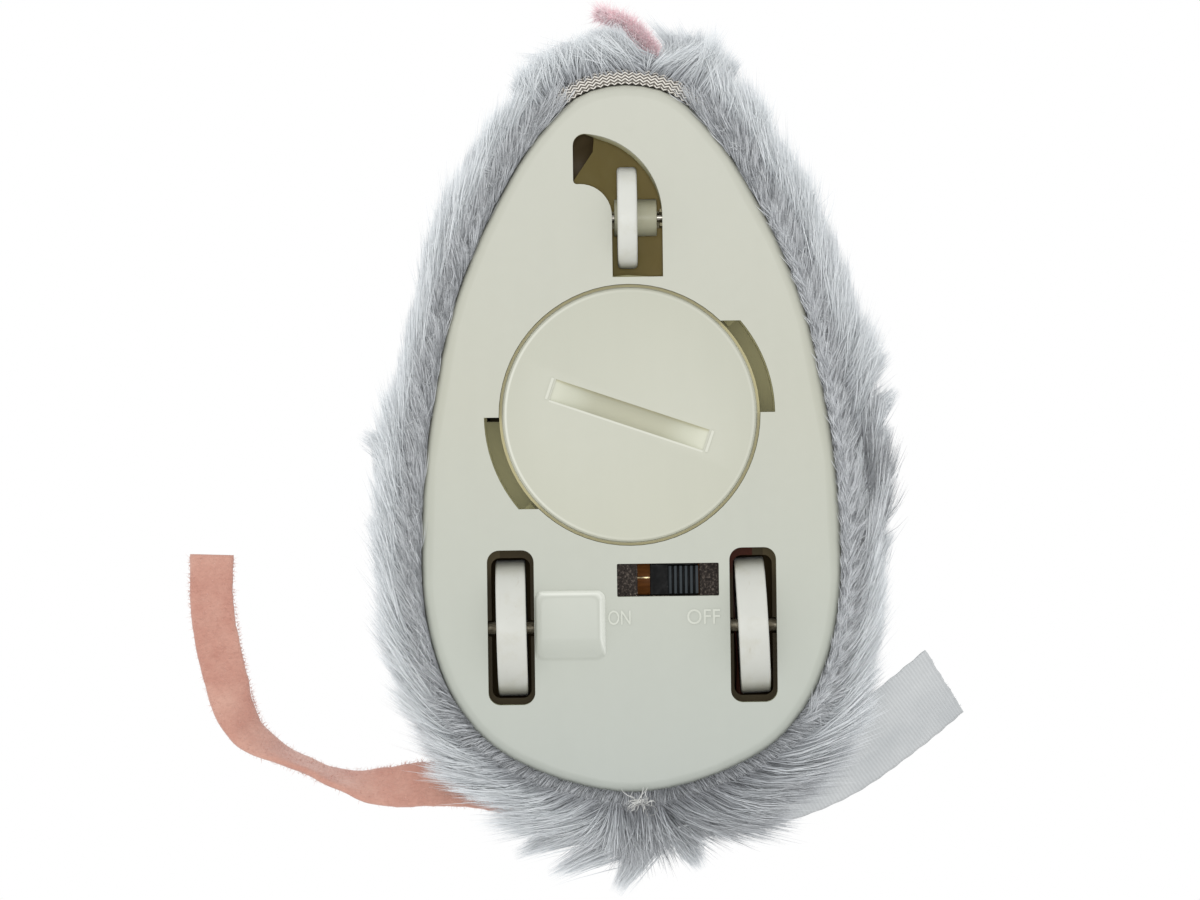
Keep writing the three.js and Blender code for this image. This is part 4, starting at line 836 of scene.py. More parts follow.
    # --- loose locks
    a, b, c, w = [], [], [], []
    for r0, tip in LOCKS:
        k = 620
        r0, tip = np.array(r0), np.array(tip)
        run = tip - r0
        across = unit(np.array([[-run[1], run[0], 0.0]]))[0]
        u = RNG.normal(0, 1.0, (k, 1))
        h = RNG.normal(0, 1.0, (k, 1)) * (0, 0, 1)
        share = np.clip(RNG.normal(0.86, 0.13, (k, 1)), 0.45, 1.08)
        start = r0 + across * u * 0.75 + h * 0.45 + run * RNG.uniform(-0.12, 0.10, (k, 1))
        end = r0 + run * share + across * (u * 0.36 + RNG.normal(0, 0.16, (k, 1))) + h * 0.3
        bend = (start + end) / 2 + across * (0.5 * RNG.normal() + RNG.normal(0, 0.14, (k, 1))) + (0, 0, -0.2)
        a.append(start)
        b.append(bend)
        c.append(end)
        w.append(RNG.uniform(0.055, 0.095, k))
    pieces.append(strands("pile_locks", mat, np.concatenate(a), np.concatenate(b), np.concatenate(c), np.concatenate(w), 0.25 + 0.6 * RNG.random(len(w) * k)))

    # --- a tuft of pale sewing thread at the rear end of the seam
    k = 90
    root = np.array([0.5, 16.5, -0.35]) + RNG.normal(0, (0.45, 0.28, 0.16), (k, 3))
    d = unit(RNG.normal(0, 1.0, (k, 3)) * (1, 1, 0.35) + (0, 0.25, -0.1))
    ln = RNG.uniform(0.5, 1.7, k)[:, None]
    curl = np.cross(d, (0, 0, 1.0)) * RNG.normal(0, 0.5, (k, 1))
    thread = pile_material("seam_thread", [(0, lin(196, 197, 194)), (1, lin(236, 236, 232))], GREY_SPREAD)
    pieces.append(strands("seam_thread_tuft", thread, root, root + (d + curl) * ln * 0.6, root + d * ln, 0.07, 0.4 + 0.6 * RNG.random(k)))

    for o in [backing] + pieces:
        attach(o, "chassis")
    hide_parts("plush_skin")
    return backing, pieces, cloth


# ------------------------------------------------------------------ knitted hem
def hem():
    """Elastic band with rows of zigzag knit stitches on the edge that shows round the plate."""
    n = 288
    o = even(spline(_ring, True, 40), n, True)
    t = unit(np.roll(o, -2, 0) - np.roll(o, 2, 0))
    nn = np.column_stack([t[:, 1], -t[:, 0]])
    prof = [(0.04, 4.4), (0.04, 1.2), (0.06, 0.78), (0.3, 0.52), (0.62, 0.42), (0.98, 0.42), (1.28, 0.56), (1.46, 0.95), (1.5, 2.2), (1.42, 4.4)]
    deep = 0.7 * smooth(o[:, 1], -47.5, -41.0)  # the band is drawn in behind the pile away from the nose
    verts = np.concatenate([np.column_stack([o + nn * d, z + (deep if z < 2 else 0 * deep)]) for d, z in prof])
    faces = grid_faces(len(prof), n, True)
    faces += [tuple(((len(prof) - 1) * n + j, (len(prof) - 1) * n + (j + 1) % n, (j + 1) % n, j)) for j in range(n)]
    which = [0] * len(faces)
    base = Nodes("knit_ground")
    f = base.noise(base.coords(), 2600.0, 4.0)
    base.colour(base.ramp(f, [(0.3, lin(92, 88, 82)), (0.7, lin(120, 115, 108))]))
    base.set(Roughness=0.95)
    base.bump(f, 0.5, 0.0001)
    yarn = Nodes("knit_yarn")
    f = yarn.noise(yarn.coords(), 1900.0, 4.0)
    yarn.colour(yarn.ramp(f, [(0.3, lin(220, 216, 207)), (0.7, lin(234, 230, 222))]))
    yarn.set(Roughness=0.9, Sheen_Weight=0.2)
    yarn.bump(f, 0.5, 0.0001)
    all_v, all_f, count = [verts], list(faces), len(verts)
    pitch = 0.66
    total = float(np.linalg.norm(np.diff(np.vstack([o, o[:1]]), axis=0), axis=1).sum())
    k = int(round(total / pitch))
    steps = k * 4
    ring = 6
    for d, z in ((0.17, 0.62), (0.45, 0.45), (0.74, 0.38), (1.03, 0.42), (1.30, 0.58)):
        u = np.arange(steps) / steps
        zig = np.abs(((u * k + 0.0) % 1.0) * 2 - 1) * 2 - 1  # triangle wave
        at, out = outline_at(u)
        c = np.column_stack([at + out * (d + 0.12 * zig)[:, None], z + 0.7 * smooth(at[:, 1], -47.5, -41.0) + 0.015 * np.cos(u * k * 4 * math.pi)])
        tan = unit(np.roll(c, -1, 0) - np.roll(c, 1, 0))
        side = unit(np.cross(tan, (0, 0, 1.0)))
        up = np.cross(side, tan)
        a = np.linspace(0, 2 * math.pi, ring, endpoint=False)
        r = 0.068
        tube = c[:, None] + r * (np.cos(a)[None, :, None] * side[:, None] + np.sin(a)[None, :, None] * up[:, None])
        all_v.append(tube.reshape(-1, 3))
        fs = grid_faces(steps, ring, True, count)
        e = count + (steps - 1) * ring
        fs += [(e + j, e + (j + 1) % ring, count + (j + 1) % ring, count + j) for j in range(ring)]
        all_f += fs
        which += [1] * len(fs)
        count += steps * ring
    ob = make("hem_knit", np.concatenate(all_v), all_f, [base.m, yarn.m], which)
    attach(ob, "chassis")
    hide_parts("elastic_hem")
    return ob


# ------------------------------------------------------------------ nose tab, ears and eyes
def fleece_material(name, a, b):
    n = Nodes(name)
    f = n.noise(n.coords(), 900.0, 5.0, 0.65)
    n.colour(n.ramp(f, [(0.3, lin(*a)), (0.7, lin(*b))]))
    n.set(Roughness=0.95, Sheen_Weight=0.4)
    n.bump(f, 0.6, 0.0002)
    return n.m


def nose():
    rng = np.random.default_rng(8)
    route = [(2.9, -53.2, 8.6, 90), (2.2, -55.2, 8.5, 90), (0.9, -56.7, 8.3, 90), (-0.7, -57.7, 8.1, 90), (-2.3, -58.3, 7.9, 90)]
    route = [(3.0, -51.2, 8.6, 90)] + route
    n, around = 40, 20
    c, t, w, h = strip_frames(route, n)
    verts = np.empty((n, around, 3))
    a = np.linspace(0, 2 * math.pi, around, endpoint=False)
    for i in range(n):
        u = i / (n - 1)
        k = (1 - 0.25 * u) * math.sqrt(max(0.0, 1 - max(0.0, (u - 0.9) / 0.1) ** 2 * 0.9))
        x, y = np.cos(a) * 1.9 * k, np.sin(a) * 0.62 * k
        lump = 1 + 0.06 * np.sin(3 * a + i * 0.5)
        verts[i] = c[i] + w[i] * (x * lump)[:, None] + h[i] * (y * lump)[:, None]
    faces = grid_faces(n, around, True) + [tuple(range(around))[::-1], tuple((n - 1) * around + j for j in range(around))]
    core = make("nose_core", verts.reshape(-1, 3), faces, [fleece_material("fleece_pink", (240, 198, 205), (250, 220, 224))])
    k = 9000
    i, j = rng.integers(4, n, k), rng.integers(0, around, k)
    root = verts[i, j] + (c[i] - verts[i, j]) * 0.15
    out = unit(verts[i, j] - c[i])
    tipward = (i / n > 0.86)[:, None] * t[i] * 0.8
    d = unit(out + t[i] * 0.45 + tipward + rng.normal(0, 0.42, (k, 3)))
    ln = rng.uniform(0.4, 1.05, k)[:, None]
    fuzz = strands(
        "nose_pile",
        pile_material("pile_pink", [(0, lin(252, 214, 220)), (0.45, lin(253, 230, 234)), (1, lin(255, 246, 246))], [(0, (0.88, 0.86, 0.87, 1)), (1, (1, 1, 1, 1))]),
        root, root + d * ln * 0.55, root + (d + rng.normal(0, 0.4, (k, 3))) * ln, 0.05,
    )
    for o in (core, fuzz):
        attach(o, "chassis")
    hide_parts("nose_tab")


def turned(p, s):
    """From an ear's own upright frame to its place on the head."""
    rx, ry, rz = math.radians(14), s * math.radians(30), -s * math.radians(18)
    def rot(p, axis, a):
        c, q = math.cos(a), math.sin(a)
        i, j = [(1, 2), (2, 0), (0, 1)][axis]
        o = p.copy()
        o[:, i], o[:, j] = p[:, i] * c - p[:, j] * q, p[:, i] * q + p[:, j] * c
        return o
    return rot(rot(rot(p, 0, rx), 1, ry), 2, rz)


def ears(mat):
    pink = fleece_material("ear_lining", (216, 150, 160), (238, 184, 190))
    grey = fleece_material("ear_cloth", (158, 161, 166), (184, 187, 191))
    for name, (x, y, z, s) in zip(("left", "right"), EARS):
        rng = np.random.default_rng(40 + int(s))
        rows, cols = 22, 25
        u, q = np.linspace(0, 1, rows), np.linspace(-1, 1, cols)
        wide = 6.2 * np.sqrt(np.maximum(0.0, 1 - ((u - 0.50) / 0.54) ** 2)) * (0.78 + 0.22 * smooth(u, 0, 0.5))
        sheets, normals = [], []
        for face in (1, -1):
            g = np.empty((rows, cols, 3))
            g[..., 0] = wide[:, None] * q[None, :]
            g[..., 2] = -6.0 + 12.4 * u[:, None]
            cup = 1.5 * (q[None, :] ** 2) * (0.5 + 0.5 * u[:, None]) + 0.5 * (u[:, None] ** 2)
            thick = 0.62 * (1 - np.abs(q[None, :]) ** 4) * (1 - (2 * u[:, None] - 1) ** 8) + 0.02
            g[..., 1] = -cup + (0.0 if face > 0 else -0.0) + face * thick + 0.5
            sheets.append(g.reshape(-1, 3))
        verts = turned(np.concatenate(sheets), s) + (x, y, z)
        a = rows * cols
        back, front = grid_faces(rows, cols), [tuple(i for i in f[::-1]) for f in grid_faces(rows, cols, False, a)]
        faces = [f[::-1] for f in back] + [f[::-1] for f in front]
        which = [0] * len(back) + [1] * len(front)
        rim = []
        loop = [j for j in range(cols)] + [i * cols + cols - 1 for i in range(1, rows)] + [(rows - 1) * cols + j for j in range(cols - 2, -1, -1)] + [i * cols for i in range(rows - 2, 0, -1)]
        for b, e in zip(loop, loop[1:] + loop[:1]):
            rim.append((b, e, a + e, a + b))
        faces += rim
        which += [0] * len(rim)
        ob = make(f"ear_{name}_cloth", verts, faces, [grey, pink], which)
        # short pile on the back and round the rim
        k = 8000
        i, j = rng.integers(0, rows, k), rng.integers(0, cols, k)
        edge = rng.random(k) < 0.35
        pick = np.where(edge, np.array(loop)[rng.integers(0, len(loop), k)], i * cols + j)
        root = verts[pick] + rng.normal(0, 0.10, (k, 3))
        mid = turned(np.array([[0.0, 0.0, 0.0]]), s) + (x, y, z)
        behind = turned(np.array([[0.0, 1.0, 0.0]]), s)
        away = unit(root - mid)
        d = unit(behind * np.where(edge, 0.35, 0.75)[:, None] + away * np.where(edge, 1.0, 0.55)[:, None] + rng.normal(0, 0.22, (k, 3)))
        ln = rng.uniform(1.1, 2.4, k)[:, None]
        p1, p2 = root + d * ln * 0.5, root + (d + away * 0.25 + rng.normal(0, 0.18, (k, 3))) * ln
        fur = strands(f"ear_{name}_pile", mat, *clumped(root, p1, p2, 16, 0.35, 0.5), rng.uniform(0.06, 0.10, k), 0.7 + 0.3 * rng.random(k))
        for o in (ob, fur):
            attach(o, "chassis")
        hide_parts(f"ear_{name}")


def eyes():
    n = Nodes("eye_bead")
    f = n.noise(n.coords(), 400.0, 3.0)
    n.colour(n.ramp(f, [(0.3, lin(9, 9, 11)), (0.7, lin(20, 19, 20))]))
    n.link(n.between(f, 0.3, 0.7, 0.06, 0.12), n.p.inputs["Roughness"])
    n.set(Coat_Weight=0.6, Coat_Roughness=0.04)
    for name, e in zip(("left", "right"), EYES):
        axis = unit(np.array([[e[0] * 0.85, -6.0, 2.2]]))[0]
        a = unit(np.cross(axis, (0, 0, 1.0))[None])[0]
        b = np.cross(axis, a)
        prof = [(0.02, 2.3)] + [(2.3 * math.sin(q), 2.3 * math.cos(q)) for q in np.linspace(0.08, 1.62, 16)] + [(2.5, -0.25), (2.52, -0.55), (2.3, -0.75), (0.9, -0.8), (0.8, -2.4), (0.02, -2.6)]
        m = 40
        ang = np.linspace(0, 2 * math.pi, m, endpoint=False)
        verts = np.concatenate([np.array(e) + axis * h + r * (np.cos(ang)[:, None] * a + np.sin(ang)[:, None] * b) for r, h in prof])
        faces = grid_faces(len(prof), m, True) + [tuple(range(m))[::-1], tuple((len(prof) - 1) * m + k for k in range(m))]
        ob = make(f"eye_{name}_bead", verts, faces, [n.m])
        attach(ob, "chassis")
        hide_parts(f"eye_{name}")


# ------------------------------------------------------------------ moulded and metal pieces from the CAD
def ivory_body(name, cap=False):
    """Ivory moulding: a slow change of tone along the toy, faint flow marks, and painted shade, warmer and darker,
    inside slots and gaps; on the cap, painted light and shade in and round the coin slot and on its rim.
    """
    n = Nodes(name)
    at = n.coords()
    x, y, z = n.axes(at)
    run = n.between(y, -0.052, 0.016, 0.0, 1.0)
    long = n.ramp(run, [(0.0, lin(186, 187, 175)), (0.45, lin(180, 181, 167)), (0.8, lin(174, 178, 168)), (1.0, lin(169, 174, 167))])
    if cap:
        long = n.ramp(run, [(0.0, lin(184, 185, 170)), (0.45, lin(184, 185, 170)), (0.75, lin(188, 189, 173))])
    cloud = n.ramp(n.noise(at, 70.0, 3.0), [(0.3, (0.985, 0.987, 0.992, 1)), (0.7, (1, 1, 1, 1))])
    flow = n.ramp(n.noise(n.stretch(at, (1.0, 0.12, 1.0)), 420.0, 3.0), [(0.3, (0.985, 0.985, 0.985, 1)), (0.7, (1, 1, 1, 1))])
    col = n.mixed(n.mixed(long, cloud, 1.0, "MULTIPLY"), flow, 1.0, "MULTIPLY")
    if cap:
        r = n.radius(x, y, 0.0, -0.020)
        slot = math.radians(19)
        u, v, w = n.axes(n.stretch(at, (1, 1, 1), (0.020 * math.sin(slot), 0.020 * math.cos(slot), 0), (0, 0, -slot)))
        # painted light and shade on the coin slot's floor: darker tan in the middle, paler toward the ends
        floor = n.ramp(
            n.between(n.maths("ABSOLUTE", u), 0.0, 0.008, 0.0, 1.0),
            [(0.0, (0.97, 0.95, 0.84, 1)), (0.42, (1.0, 0.985, 0.90, 1)), (0.66, (1.14, 1.14, 1.10, 1)), (0.90, (1.24, 1.24, 1.22, 1))],
        )
        # painted shade along the slot's upper long side
        shade = n.ramp(n.between(v, -0.00103, 0.0, 0.0, 1.0), [(0.04, (0.86, 0.83, 0.70, 1)), (0.32, (1, 1, 1, 1))])
        floor = n.mixed(floor, shade, 1.0, "MULTIPLY")
        sunk = n.between(z, 0.00004, 0.00012, 0.0, 1.0)
        inside = n.maths("MULTIPLY", sunk, n.maths("LESS_THAN", r, 0.0090))
        # painted shade in the gap round the cap
        gap = n.ramp(n.between(r, 0.01197, 0.01206, 0.0, 1.0), [(0.0, (1, 1, 1, 1)), (1.0, (0.86, 0.76, 0.44, 1))])
        # painted highlight on the cap's rounded rim, strongest toward -X
        rim = n.ramp(
            n.between(r, 0.0112, 0.0120, 0.0, 1.0),
            [(0.38, (0, 0, 0, 1)), (0.52, (1, 1, 1, 1)), (0.62, (1, 1, 1, 1)), (0.76, (0, 0, 0, 1))],
        )
        edge = n.ramp(n.between(x, -0.012, 0.012, 0.0, 1.0), [(0.0, (1, 1, 1, 1)), (0.5, (0.15, 0.15, 0.15, 1)), (1.0, (0.32, 0.32, 0.32, 1))])
        pale = n.ramp(n.mixed(rim, edge, 1.0, "MULTIPLY"), [(0.0, (0, 0, 0, 1)), (1.0, (0.16, 0.16, 0.16, 1))])
        col = n.mixed(n.mixed(col, n.mixed(col, floor, 1.0, "MULTIPLY"), inside), gap, 1.0, "MULTIPLY")
        col = n.mixed(col, pale, 1.0, "ADD")
        # painted highlights: paler lines along the slot's lower side and on the bars at its ends
        beside = n.maths("MULTIPLY", n.maths("LESS_THAN", n.maths("ABSOLUTE", n.maths("SUBTRACT", v, 0.00112)), 0.00009), n.maths("LESS_THAN", n.maths("ABSOLUTE", u), 0.0076))
        edge_highlight = n.maths("MAXIMUM", beside, n.maths("LESS_THAN", z, -0.00003))
        col = n.mixed(col, n.ramp(edge_highlight, [(0.0, (0, 0, 0, 1)), (1.0, (0.09, 0.09, 0.09, 1))]), 1.0, "ADD")
    else:
        def near(v, centre, half):
            return n.maths("LESS_THAN", n.maths("ABSOLUTE", n.maths("SUBTRACT", v, centre)), half)

        wheels = n.maths("MULTIPLY", near(n.maths("ABSOLUTE", x), 0.0114, 0.0030), near(y, -0.0001, 0.0081))
        front = n.maths("MULTIPLY", near(x, -0.0009, 0.0052), near(y, -0.0397, 0.0074))
        ring = near(n.radius(x, y, 0.0, -0.020), 0.0133, 0.0011)
        window = n.maths("MULTIPLY", near(x, 0.0032, 0.0056), near(y, -0.00446, 0.0018))
        opening = n.maths("MAXIMUM", n.maths("MAXIMUM", wheels, front), n.maths("MAXIMUM", ring, window))
        # painted shade inside the openings, warmer and darker with depth
        depth = n.ramp(
            n.between(z, 0.0, 0.003, 0.0, 1.0),
            [(0.04, (1, 1, 1, 1)), (0.14, (0.90, 0.86, 0.66, 1)), (0.5, (0.72, 0.67, 0.43, 1)), (1.0, (0.86, 0.80, 0.52, 1))],
        )
        # painted shade in the rear wheels' wells, darkest just inside the lip
        inner = n.ramp(
            n.between(z, 0.0015, 0.0095, 0.0, 1.0),
            [(0.0, (1, 1, 1, 1)), (0.05, (0.145, 0.11, 0.095, 1)), (0.16, (0.145, 0.11, 0.095, 1)), (0.5, (0.46, 0.37, 0.30, 1))],
        )
        # the wells' front corners: dark red toward the middle of the left one; on the outer sides the painted shade is
        # lighter
        corner = n.maths("MULTIPLY", n.between(y, -0.0042, -0.0056, 0.0, 1.0), n.between(z, 0.0015, 0.0019, 0.0, 1.0))
        red = n.ramp(n.maths("MULTIPLY", near(x, 0.0100, 0.0014), corner), [(0.0, (1, 1, 1, 1)), (1.0, (0.95, 0.26, 0.18, 1))])
        paler = n.ramp(n.maths("MULTIPLY", near(n.maths("ABSOLUTE", x), 0.0137, 0.0013), corner), [(0.0, (1, 1, 1, 1)), (1.0, (1.6, 1.65, 1.7, 1))])
        inner = n.mixed(n.mixed(inner, red, 1.0, "MULTIPLY"), paler, 1.0, "MULTIPLY")
        tint = n.mixed(depth, n.mixed(depth, inner, 1.0, "MULTIPLY"), wheels)
        col = n.mixed(col, n.mixed(col, tint, 1.0, "MULTIPLY"), opening)
        # painted shade deep inside the catch's slit
        slit = n.maths("MULTIPLY", n.maths("MULTIPLY", near(x, -0.01278, 0.00070), near(y, -0.01974, 0.00024)), n.maths("GREATER_THAN", z, 0.00295))
        col = n.mixed(col, n.mixed(col, n.ramp(slit, [(0.0, (1, 1, 1, 1)), (1.0, (0.10, 0.085, 0.06, 1))]), 1.0, "MULTIPLY"), slit)
        n.link(n.between(n.maths("MULTIPLY", opening, n.between(z, 0.0001, 0.0004, 0.0, 1.0)), 0.0, 1.0, 0.5, 0.06), n.p.inputs["Specular IOR Level"])
        # painted light: parts standing proud of the underside are a little paler
        proud = n.between(z, -0.0007, -0.0002, 0.045, 0.0)
        pale = n.ramp(proud, [(0.0, (0, 0, 0, 1)), (1.0, (1, 1, 1, 1))])
        col = n.mixed(col, pale, 1.0, "ADD")
        # painted light on the walls of the gear blister, lightest on two sides
        nx, ny, nz = n.axes(n.coords("Normal"))
        blister = n.maths("MULTIPLY", n.maths("MULTIPLY", near(x, -0.00583, 0.0036), near(y, -0.00022, 0.0036)), n.between(z, -0.00006, 0.00004, 1.0, 0.0))
        wall = n.maths("MULTIPLY", blister, n.between(n.maths("ABSOLUTE", nz), 0.70, 0.97, 1.0, 0.0))
        lit = n.between(n.maths("SUBTRACT", nx, ny), 0.1, 0.5, 0.15, 0.30)
        col = n.mixed(col, n.ramp(n.maths("MULTIPLY", wall, lit), [(0.0, (0, 0, 0, 1)), (1.0, (1, 1, 0.98, 1))]), 1.0, "ADD")
    n.colour(col)
    n.link(n.between(n.noise(at, 900.0, 3.0), 0.3, 0.7, 0.395, 0.415), n.p.inputs["Roughness"])
    grain = n.noise(at, 4200.0, 2.0)
    if cap:
        n.bump(grain, 0.05, 0.00005)
    else:
        # the moulding gate's small round spot near the nose
        gate = n.radius(x, y, 0.0003, -0.0471)
        ring = n.ramp(n.between(gate, 0.0, 0.0008, 0.0, 1.0), [(0.5, (0.0, 0.0, 0.0, 1)), (0.62, (1, 1, 1, 1))])
        n.bump(n.mixed(ring, grain, 0.2), 0.10, 0.00008)
    n.set(IOR=1.45)
    return n.m


def white_wheel(name, hub=None):
    """White moulding with faint scuffs; hub gives (y, z) of the axis of a wheel whose hub gets painted shade, darker
    and yellower than its tread.
    """
    n = Nodes(name)
    at = n.coords()
    x, y, z = n.axes(at)
    dim = 0 if hub else 6
    base = n.ramp(n.noise(at, 160.0, 3.0), [(0.3, lin(199 - dim, 200 - dim, 193 - dim)), (0.7, lin(204 - dim, 205 - dim, 198 - dim))])
    scuff = n.ramp(n.noise(n.stretch(at, (1.0, 0.35, 0.35)), 1900.0, 6.0, 0.75), [(0.28, (0.80, 0.76, 0.68, 1)), (0.37, (1, 1, 1, 1))])
    grime = n.ramp(n.noise(at, 420.0, 4.0, 0.7), [(0.25, (0.93, 0.915, 0.87, 1)), (0.5, (1, 1, 1, 1))])
    col = n.mixed(n.mixed(base, scuff, 0.6, "MULTIPLY"), grime, 1.0, "MULTIPLY")
    if hub:
        r = n.radius(y, z, *hub)
        # painted shade on the hub
        tone = n.ramp(n.between(r, 0.0, 0.004, 0.0, 1.0), [(0.45, (0.62, 0.60, 0.46, 1)), (0.56, (1, 1, 1, 1))])
        col = n.mixed(col, tone, 1.0, "MULTIPLY")
    n.colour(col)
    n.link(n.between(n.noise(at, 800.0, 3.0), 0.3, 0.7, 0.36, 0.5), n.p.inputs["Roughness"])
    n.bump(n.noise(n.stretch(at, (1.0, 0.3, 0.3)), 3600.0, 3.0), 0.06, 0.00005)
    n.set(IOR=1.46)
    return n.m


def olive_cover():
    """The plate over the caster: ivory moulding deep in the toy, coloured olive as painted shade, and paler toward +X
    as painted light.
    """
    n = Nodes("caster_cover_olive")
    at = n.coords()
    f = n.noise(n.stretch(at, (1.0, 0.5, 1.0)), 240.0, 4.0, 0.6)
    x, y, z = n.axes(at)
    # painted light: paler toward +X
    side = n.ramp(n.between(x, 0.0, 0.003, 0.0, 1.0), [(0.0, (1.04, 1.04, 1.08, 1)), (1.0, (1.30, 1.27, 1.36, 1))])
    n.colour(n.mixed(n.ramp(f, [(0.3, lin(170, 152, 92)), (0.7, lin(180, 163, 102))]), side, 1.0, "MULTIPLY"))
    n.link(n.between(n.noise(at, 900.0, 3.0), 0.3, 0.7, 0.45, 0.6), n.p.inputs["Roughness"])
    n.bump(n.noise(at, 3000.0, 2.0), 0.08, 0.00005)
    n.p.inputs["Specular IOR Level"].default_value = 0.1
    return n.m


def brown_housing():
    """The inner dome: brown moulding, with painted shade where the cap's catch runs through the plate."""
    n = Nodes("brown_housing")
    at = n.coords()
    x, y, z = n.axes(at)
    f = n.noise(at, 180.0, 4.0)
    # painted shade round the catch's slit
    slit_shade = n.ramp(n.between(n.radius(x, y, -0.0128, -0.0198), 0.0015, 0.0035, 0.0, 1.0), [(0.0, (0.10, 0.09, 0.08, 1)), (1.0, (1, 1, 1, 1))])
    n.colour(n.mixed(n.ramp(f, [(0.3, lin(109, 93, 64)), (0.7, lin(115, 99, 68))]), slit_shade, 1.0, "MULTIPLY"))
    n.link(n.between(n.noise(at, 900.0, 3.0), 0.3, 0.7, 0.5, 0.62), n.p.inputs["Roughness"])
    n.bump(n.noise(at, 5200.0, 2.0), 0.1, 0.00006)
    return n.m


def axle_steel():
    """Dull turned steel with a fine mottled tone."""
    n = Nodes("axle_steel")
    at = n.coords()
    f = n.noise(n.stretch(at, (1.0, 1.0, 1.0)), 1800.0, 4.0, 0.65)
    n.colour(n.ramp(f, [(0.32, lin(104, 94, 76)), (0.5, lin(150, 141, 118)), (0.68, lin(188, 180, 158))]))
    n.link(n.between(f, 0.3, 0.7, 0.6, 0.42), n.p.inputs["Roughness"])
    n.bump(f, 0.3, 0.00006)
    n.set(Metallic=0.35)
    return n.m


def steel_speckled():
    n = Nodes("switch_steel")
    at = n.coords()
    f = n.noise(at, 4200.0, 6.0, 0.8)
    n.colour(n.ramp(f, [(0.36, lin(18, 13, 11)), (0.52, lin(44, 36, 31)), (0.66, lin(112, 102, 93))]))
    n.link(n.between(f, 0.3, 0.7, 0.55, 0.38), n.p.inputs["Roughness"])
    n.set(Metallic=0.3)
    n.p.inputs["Specular IOR Level"].default_value = 0.2
    n.bump(f, 0.4, 0.00005)
    return n.m


def slider_black():
    """Black slider: painted highlights on the ribs' tops, so the smooth end looks darker than them."""
    n = Nodes("slider_black")
    at = n.coords()
    x, y, z = n.axes(at)
    # painted highlight on the ribs' tops, against black grooves
    top = n.ramp(n.between(z, 0.0, 0.0006, 0.0, 1.0), [(0.2, lin(50, 55, 58)), (0.5, lin(9, 10, 11))])
    plain = n.ramp(n.noise(at, 600.0, 3.0), [(0.3, lin(9, 10, 11)), (0.7, lin(14, 15, 16))])
    n.colour(n.mixed(plain, top, n.between(x, 0.0034, 0.0037, 0.0, 1.0)))
    n.link(n.between(n.noise(at, 1500.0, 3.0), 0.3, 0.7, 0.36, 0.5), n.p.inputs["Roughness"])
    n.p.inputs["Specular IOR Level"].default_value = 0.1
    n.bump(n.noise(at, 5200.0, 2.0), 0.1, 0.00005)
    return n.m


def phenolic_material():
    n = Nodes("phenolic")
    at = n.coords()
    f = n.noise(n.stretch(at, (1.0, 6.0, 1.0)), 700.0, 5.0, 0.7)
    n.colour(n.ramp(f, [(0.3, lin(128, 76, 32)), (0.7, lin(168, 106, 52))]))
    n.set(Roughness=0.55)
    n.bump(f, 0.2, 0.00005)
    return n.m


def hard():
    looks = {
        "ivory_plastic": plastic("ivory", (190, 190, 176), 0.40, 0.02, 0.05, 90.0),
        "white_plastic": white_wheel("white"),
        "natural_nylon": plastic("nylon", (206, 200, 172), 0.42, 0.03, 0.06),
        "brown_plastic": plastic("brown", (112, 96, 66), 0.55, 0.06, 0.1),
        "black_plastic": plastic("black", (13, 14, 15), 0.33, 0.15, 0.1, 400.0),
        "steel": metal("steel", (172, 168, 158), 0.34, 0.08, (0.2, 1, 1)),
        "brass": metal("brass", (196, 164, 92), 0.34),
        "phenolic": phenolic_material(),
        "board_green": plastic("board", (44, 92, 60), 0.4, 0.12, 0.1, 500.0),
        "red_plastic": plastic("red_sleeve", (84, 46, 34), 0.5, 0.06),
        "eye_gloss": plastic("gloss", (12, 12, 13), 0.1, 0.2),
    }
    slot_of = {p["node"]: p["material_slot"] for p in frame["record"]["subparts"]}
    special = {
        "base_plate": ivory_body("ivory_plate"), "battery_cap": ivory_body("ivory_cap", True), "switch_frame": steel_speckled(),
        "front_wheel": white_wheel("white_front", (-0.0386, 0.0024)), "caster_cover": olive_cover(), "rear_axle": axle_steel(), "top_housing": brown_housing(),
        # the caster arm gets a darker copy of the nylon: painted shade
        "caster_arm": plastic("nylon_arm", (176, 168, 132), 0.45, 0.04, 0.06), "switch_slider": slider_black(),
    }
    round_edges = {
        "base_plate": 0.08, "rear_wheel_left": 0.06, "rear_wheel_right": 0.06, "front_wheel": 0.06, "caster_arm": 0.06,
        "switch_slider": 0.05, "rear_axle": 0.05, "front_axle": 0.05, "switch_frame": 0.02, "caster_cover": 0.06,
    }
    for name, ob in NODES.items():
        mat = special.get(name) or looks.get(slot_of.get(name))
        if mat is None:
            continue
        ob.data.materials.clear()
        ob.data.materials.append(mat)
        weld = ob.modifiers.new("weld", "WELD")
        weld.merge_threshold = 1e-6
        if name in round_edges:
            flat = ob.modifiers.new("flat", "DECIMATE")
            flat.decimate_type, flat.angle_limit = "DISSOLVE", math.radians(1.0)
            bev = ob.modifiers.new("edge", "BEVEL")
            bev.width, bev.segments, bev.limit_method, bev.angle_limit = round_edges[name] * MM, 3, "ANGLE", math.radians(38)
            bev.use_clamp_overlap = True
            bev.harden_normals = False
        elif name == "battery_cap":
            crisp = ob.modifiers.new("crisp", "EDGE_SPLIT")
            crisp.split_angle = math.radians(28)
        ob.data.polygons.foreach_set("use_smooth", np.ones(len(ob.data.polygons), bool))
        if name in round_edges:
            nor = ob.modifiers.new("normals", "WEIGHTED_NORMAL")
            nor.keep_sharp = True


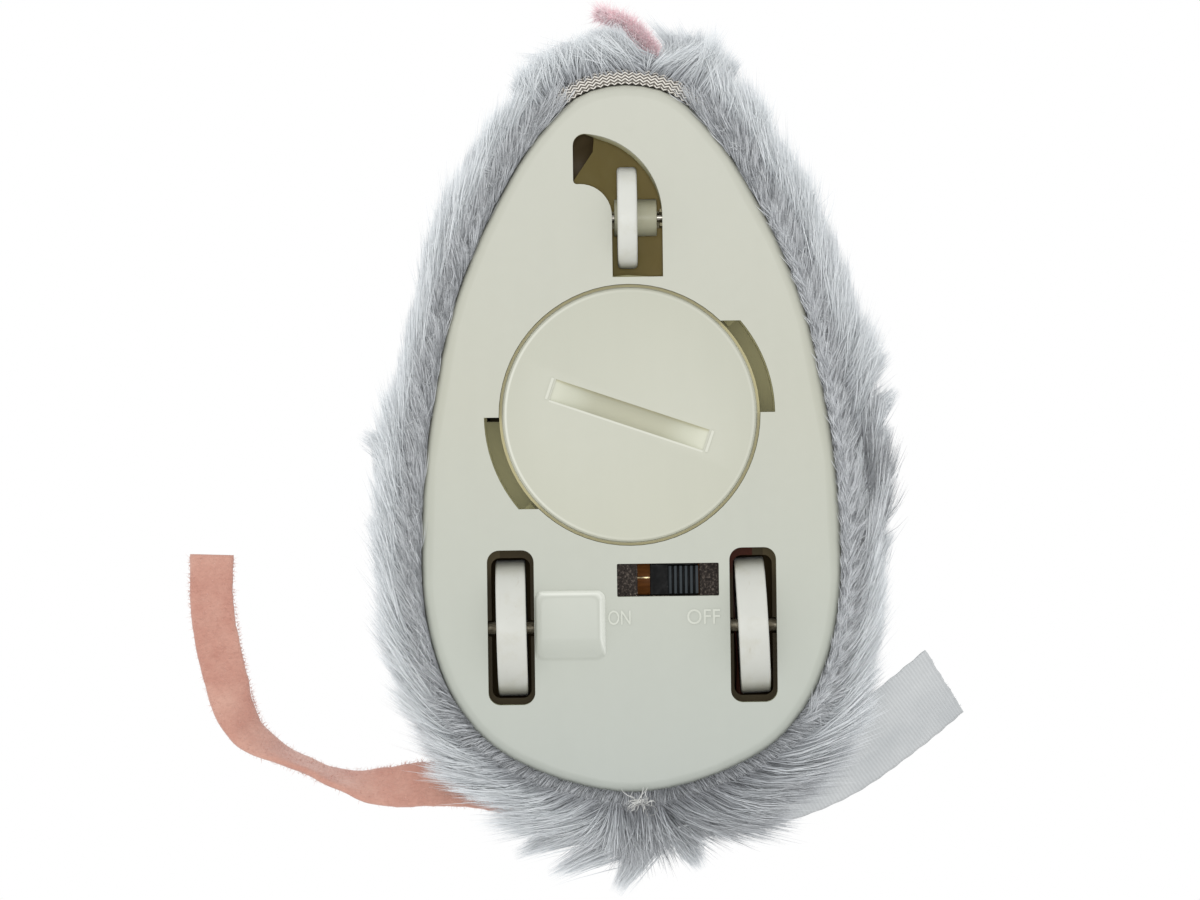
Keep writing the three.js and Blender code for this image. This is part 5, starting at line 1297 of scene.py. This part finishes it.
def raised_text(name, body, centre, size, mat):
    """Small raised letters on the plate's underside."""
    cu = bpy.data.curves.new(name + "_outline", "FONT")
    cu.body, cu.align_x, cu.align_y, cu.size, cu.extrude, cu.resolution_u = body, "CENTER", "CENTER", 1.0, 0.04, 6
    tmp = link(bpy.data.objects.new(name + "_outline", cu))
    bpy.context.view_layer.update()
    me = bpy.data.meshes.new_from_object(tmp.evaluated_get(bpy.context.evaluated_depsgraph_get()))
    bpy.data.objects.remove(tmp)
    bpy.data.curves.remove(cu)
    co = np.empty(len(me.vertices) * 3, np.float32)
    me.vertices.foreach_get("co", co)
    co = co.reshape(-1, 3)
    lo, hi = co.min(0), co.max(0)
    co = (co - (lo + hi) / 2) / (hi - lo)
    w, h = size
    out = np.column_stack([centre[0] + co[:, 0] * w, centre[1] - co[:, 1] * h, -0.02 - co[:, 2] * 0.10])
    me.vertices.foreach_set("co", (out * MM).astype(np.float32).ravel())
    me.name = name
    me.materials.clear()
    me.materials.append(mat)
    me.update()
    ob = link(bpy.data.objects.new(name, me))
    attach(ob, "chassis")
    return ob


def switch_contact():
    """A thin bent strip of spring metal under the slide switch."""
    n = 24
    x = np.linspace(0.3, 2.6, n)
    z = 3.98 + 0.08 * np.cos((x - 0.3) * 2.7)
    half, t = 0.06, 0.03
    verts = np.concatenate([np.column_stack([x, np.full(n, -4.6 + a * half), z + b * t]) for a, b in ((-1, -1), (1, -1), (1, 1), (-1, 1))])
    faces = [(k * n + i, k * n + i + 1, (k + 1) % 4 * n + i + 1, (k + 1) % 4 * n + i) for k in range(4) for i in range(n - 1)]
    faces += [(0, n, 2 * n, 3 * n)[::-1], (n - 1, 2 * n - 1, 3 * n - 1, 4 * n - 1)]
    ob = make("switch_contact", verts, faces, [metal("contact_metal", (226, 204, 160), 0.4)], smooth=False)
    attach(ob, "chassis")


tail()
label()
hard()
switch_contact()
backing, pile, cloth = plush()
band = hem()
nose()
ears(bpy.data.materials["pile_grey_over"])
eyes()
# the letters are the plate's ivory made a little paler: painted light on their raised faces
MARK = plastic("ivory_mark", (192, 195, 184), 0.4, 0.02, 0.04)
raised_text("switch_on_mark", "ON", (-1.2, -0.95), (2.1, 1.35), MARK)
raised_text("switch_off_mark", "OFF", (6.72, -0.95), (3.1, 1.4), MARK)
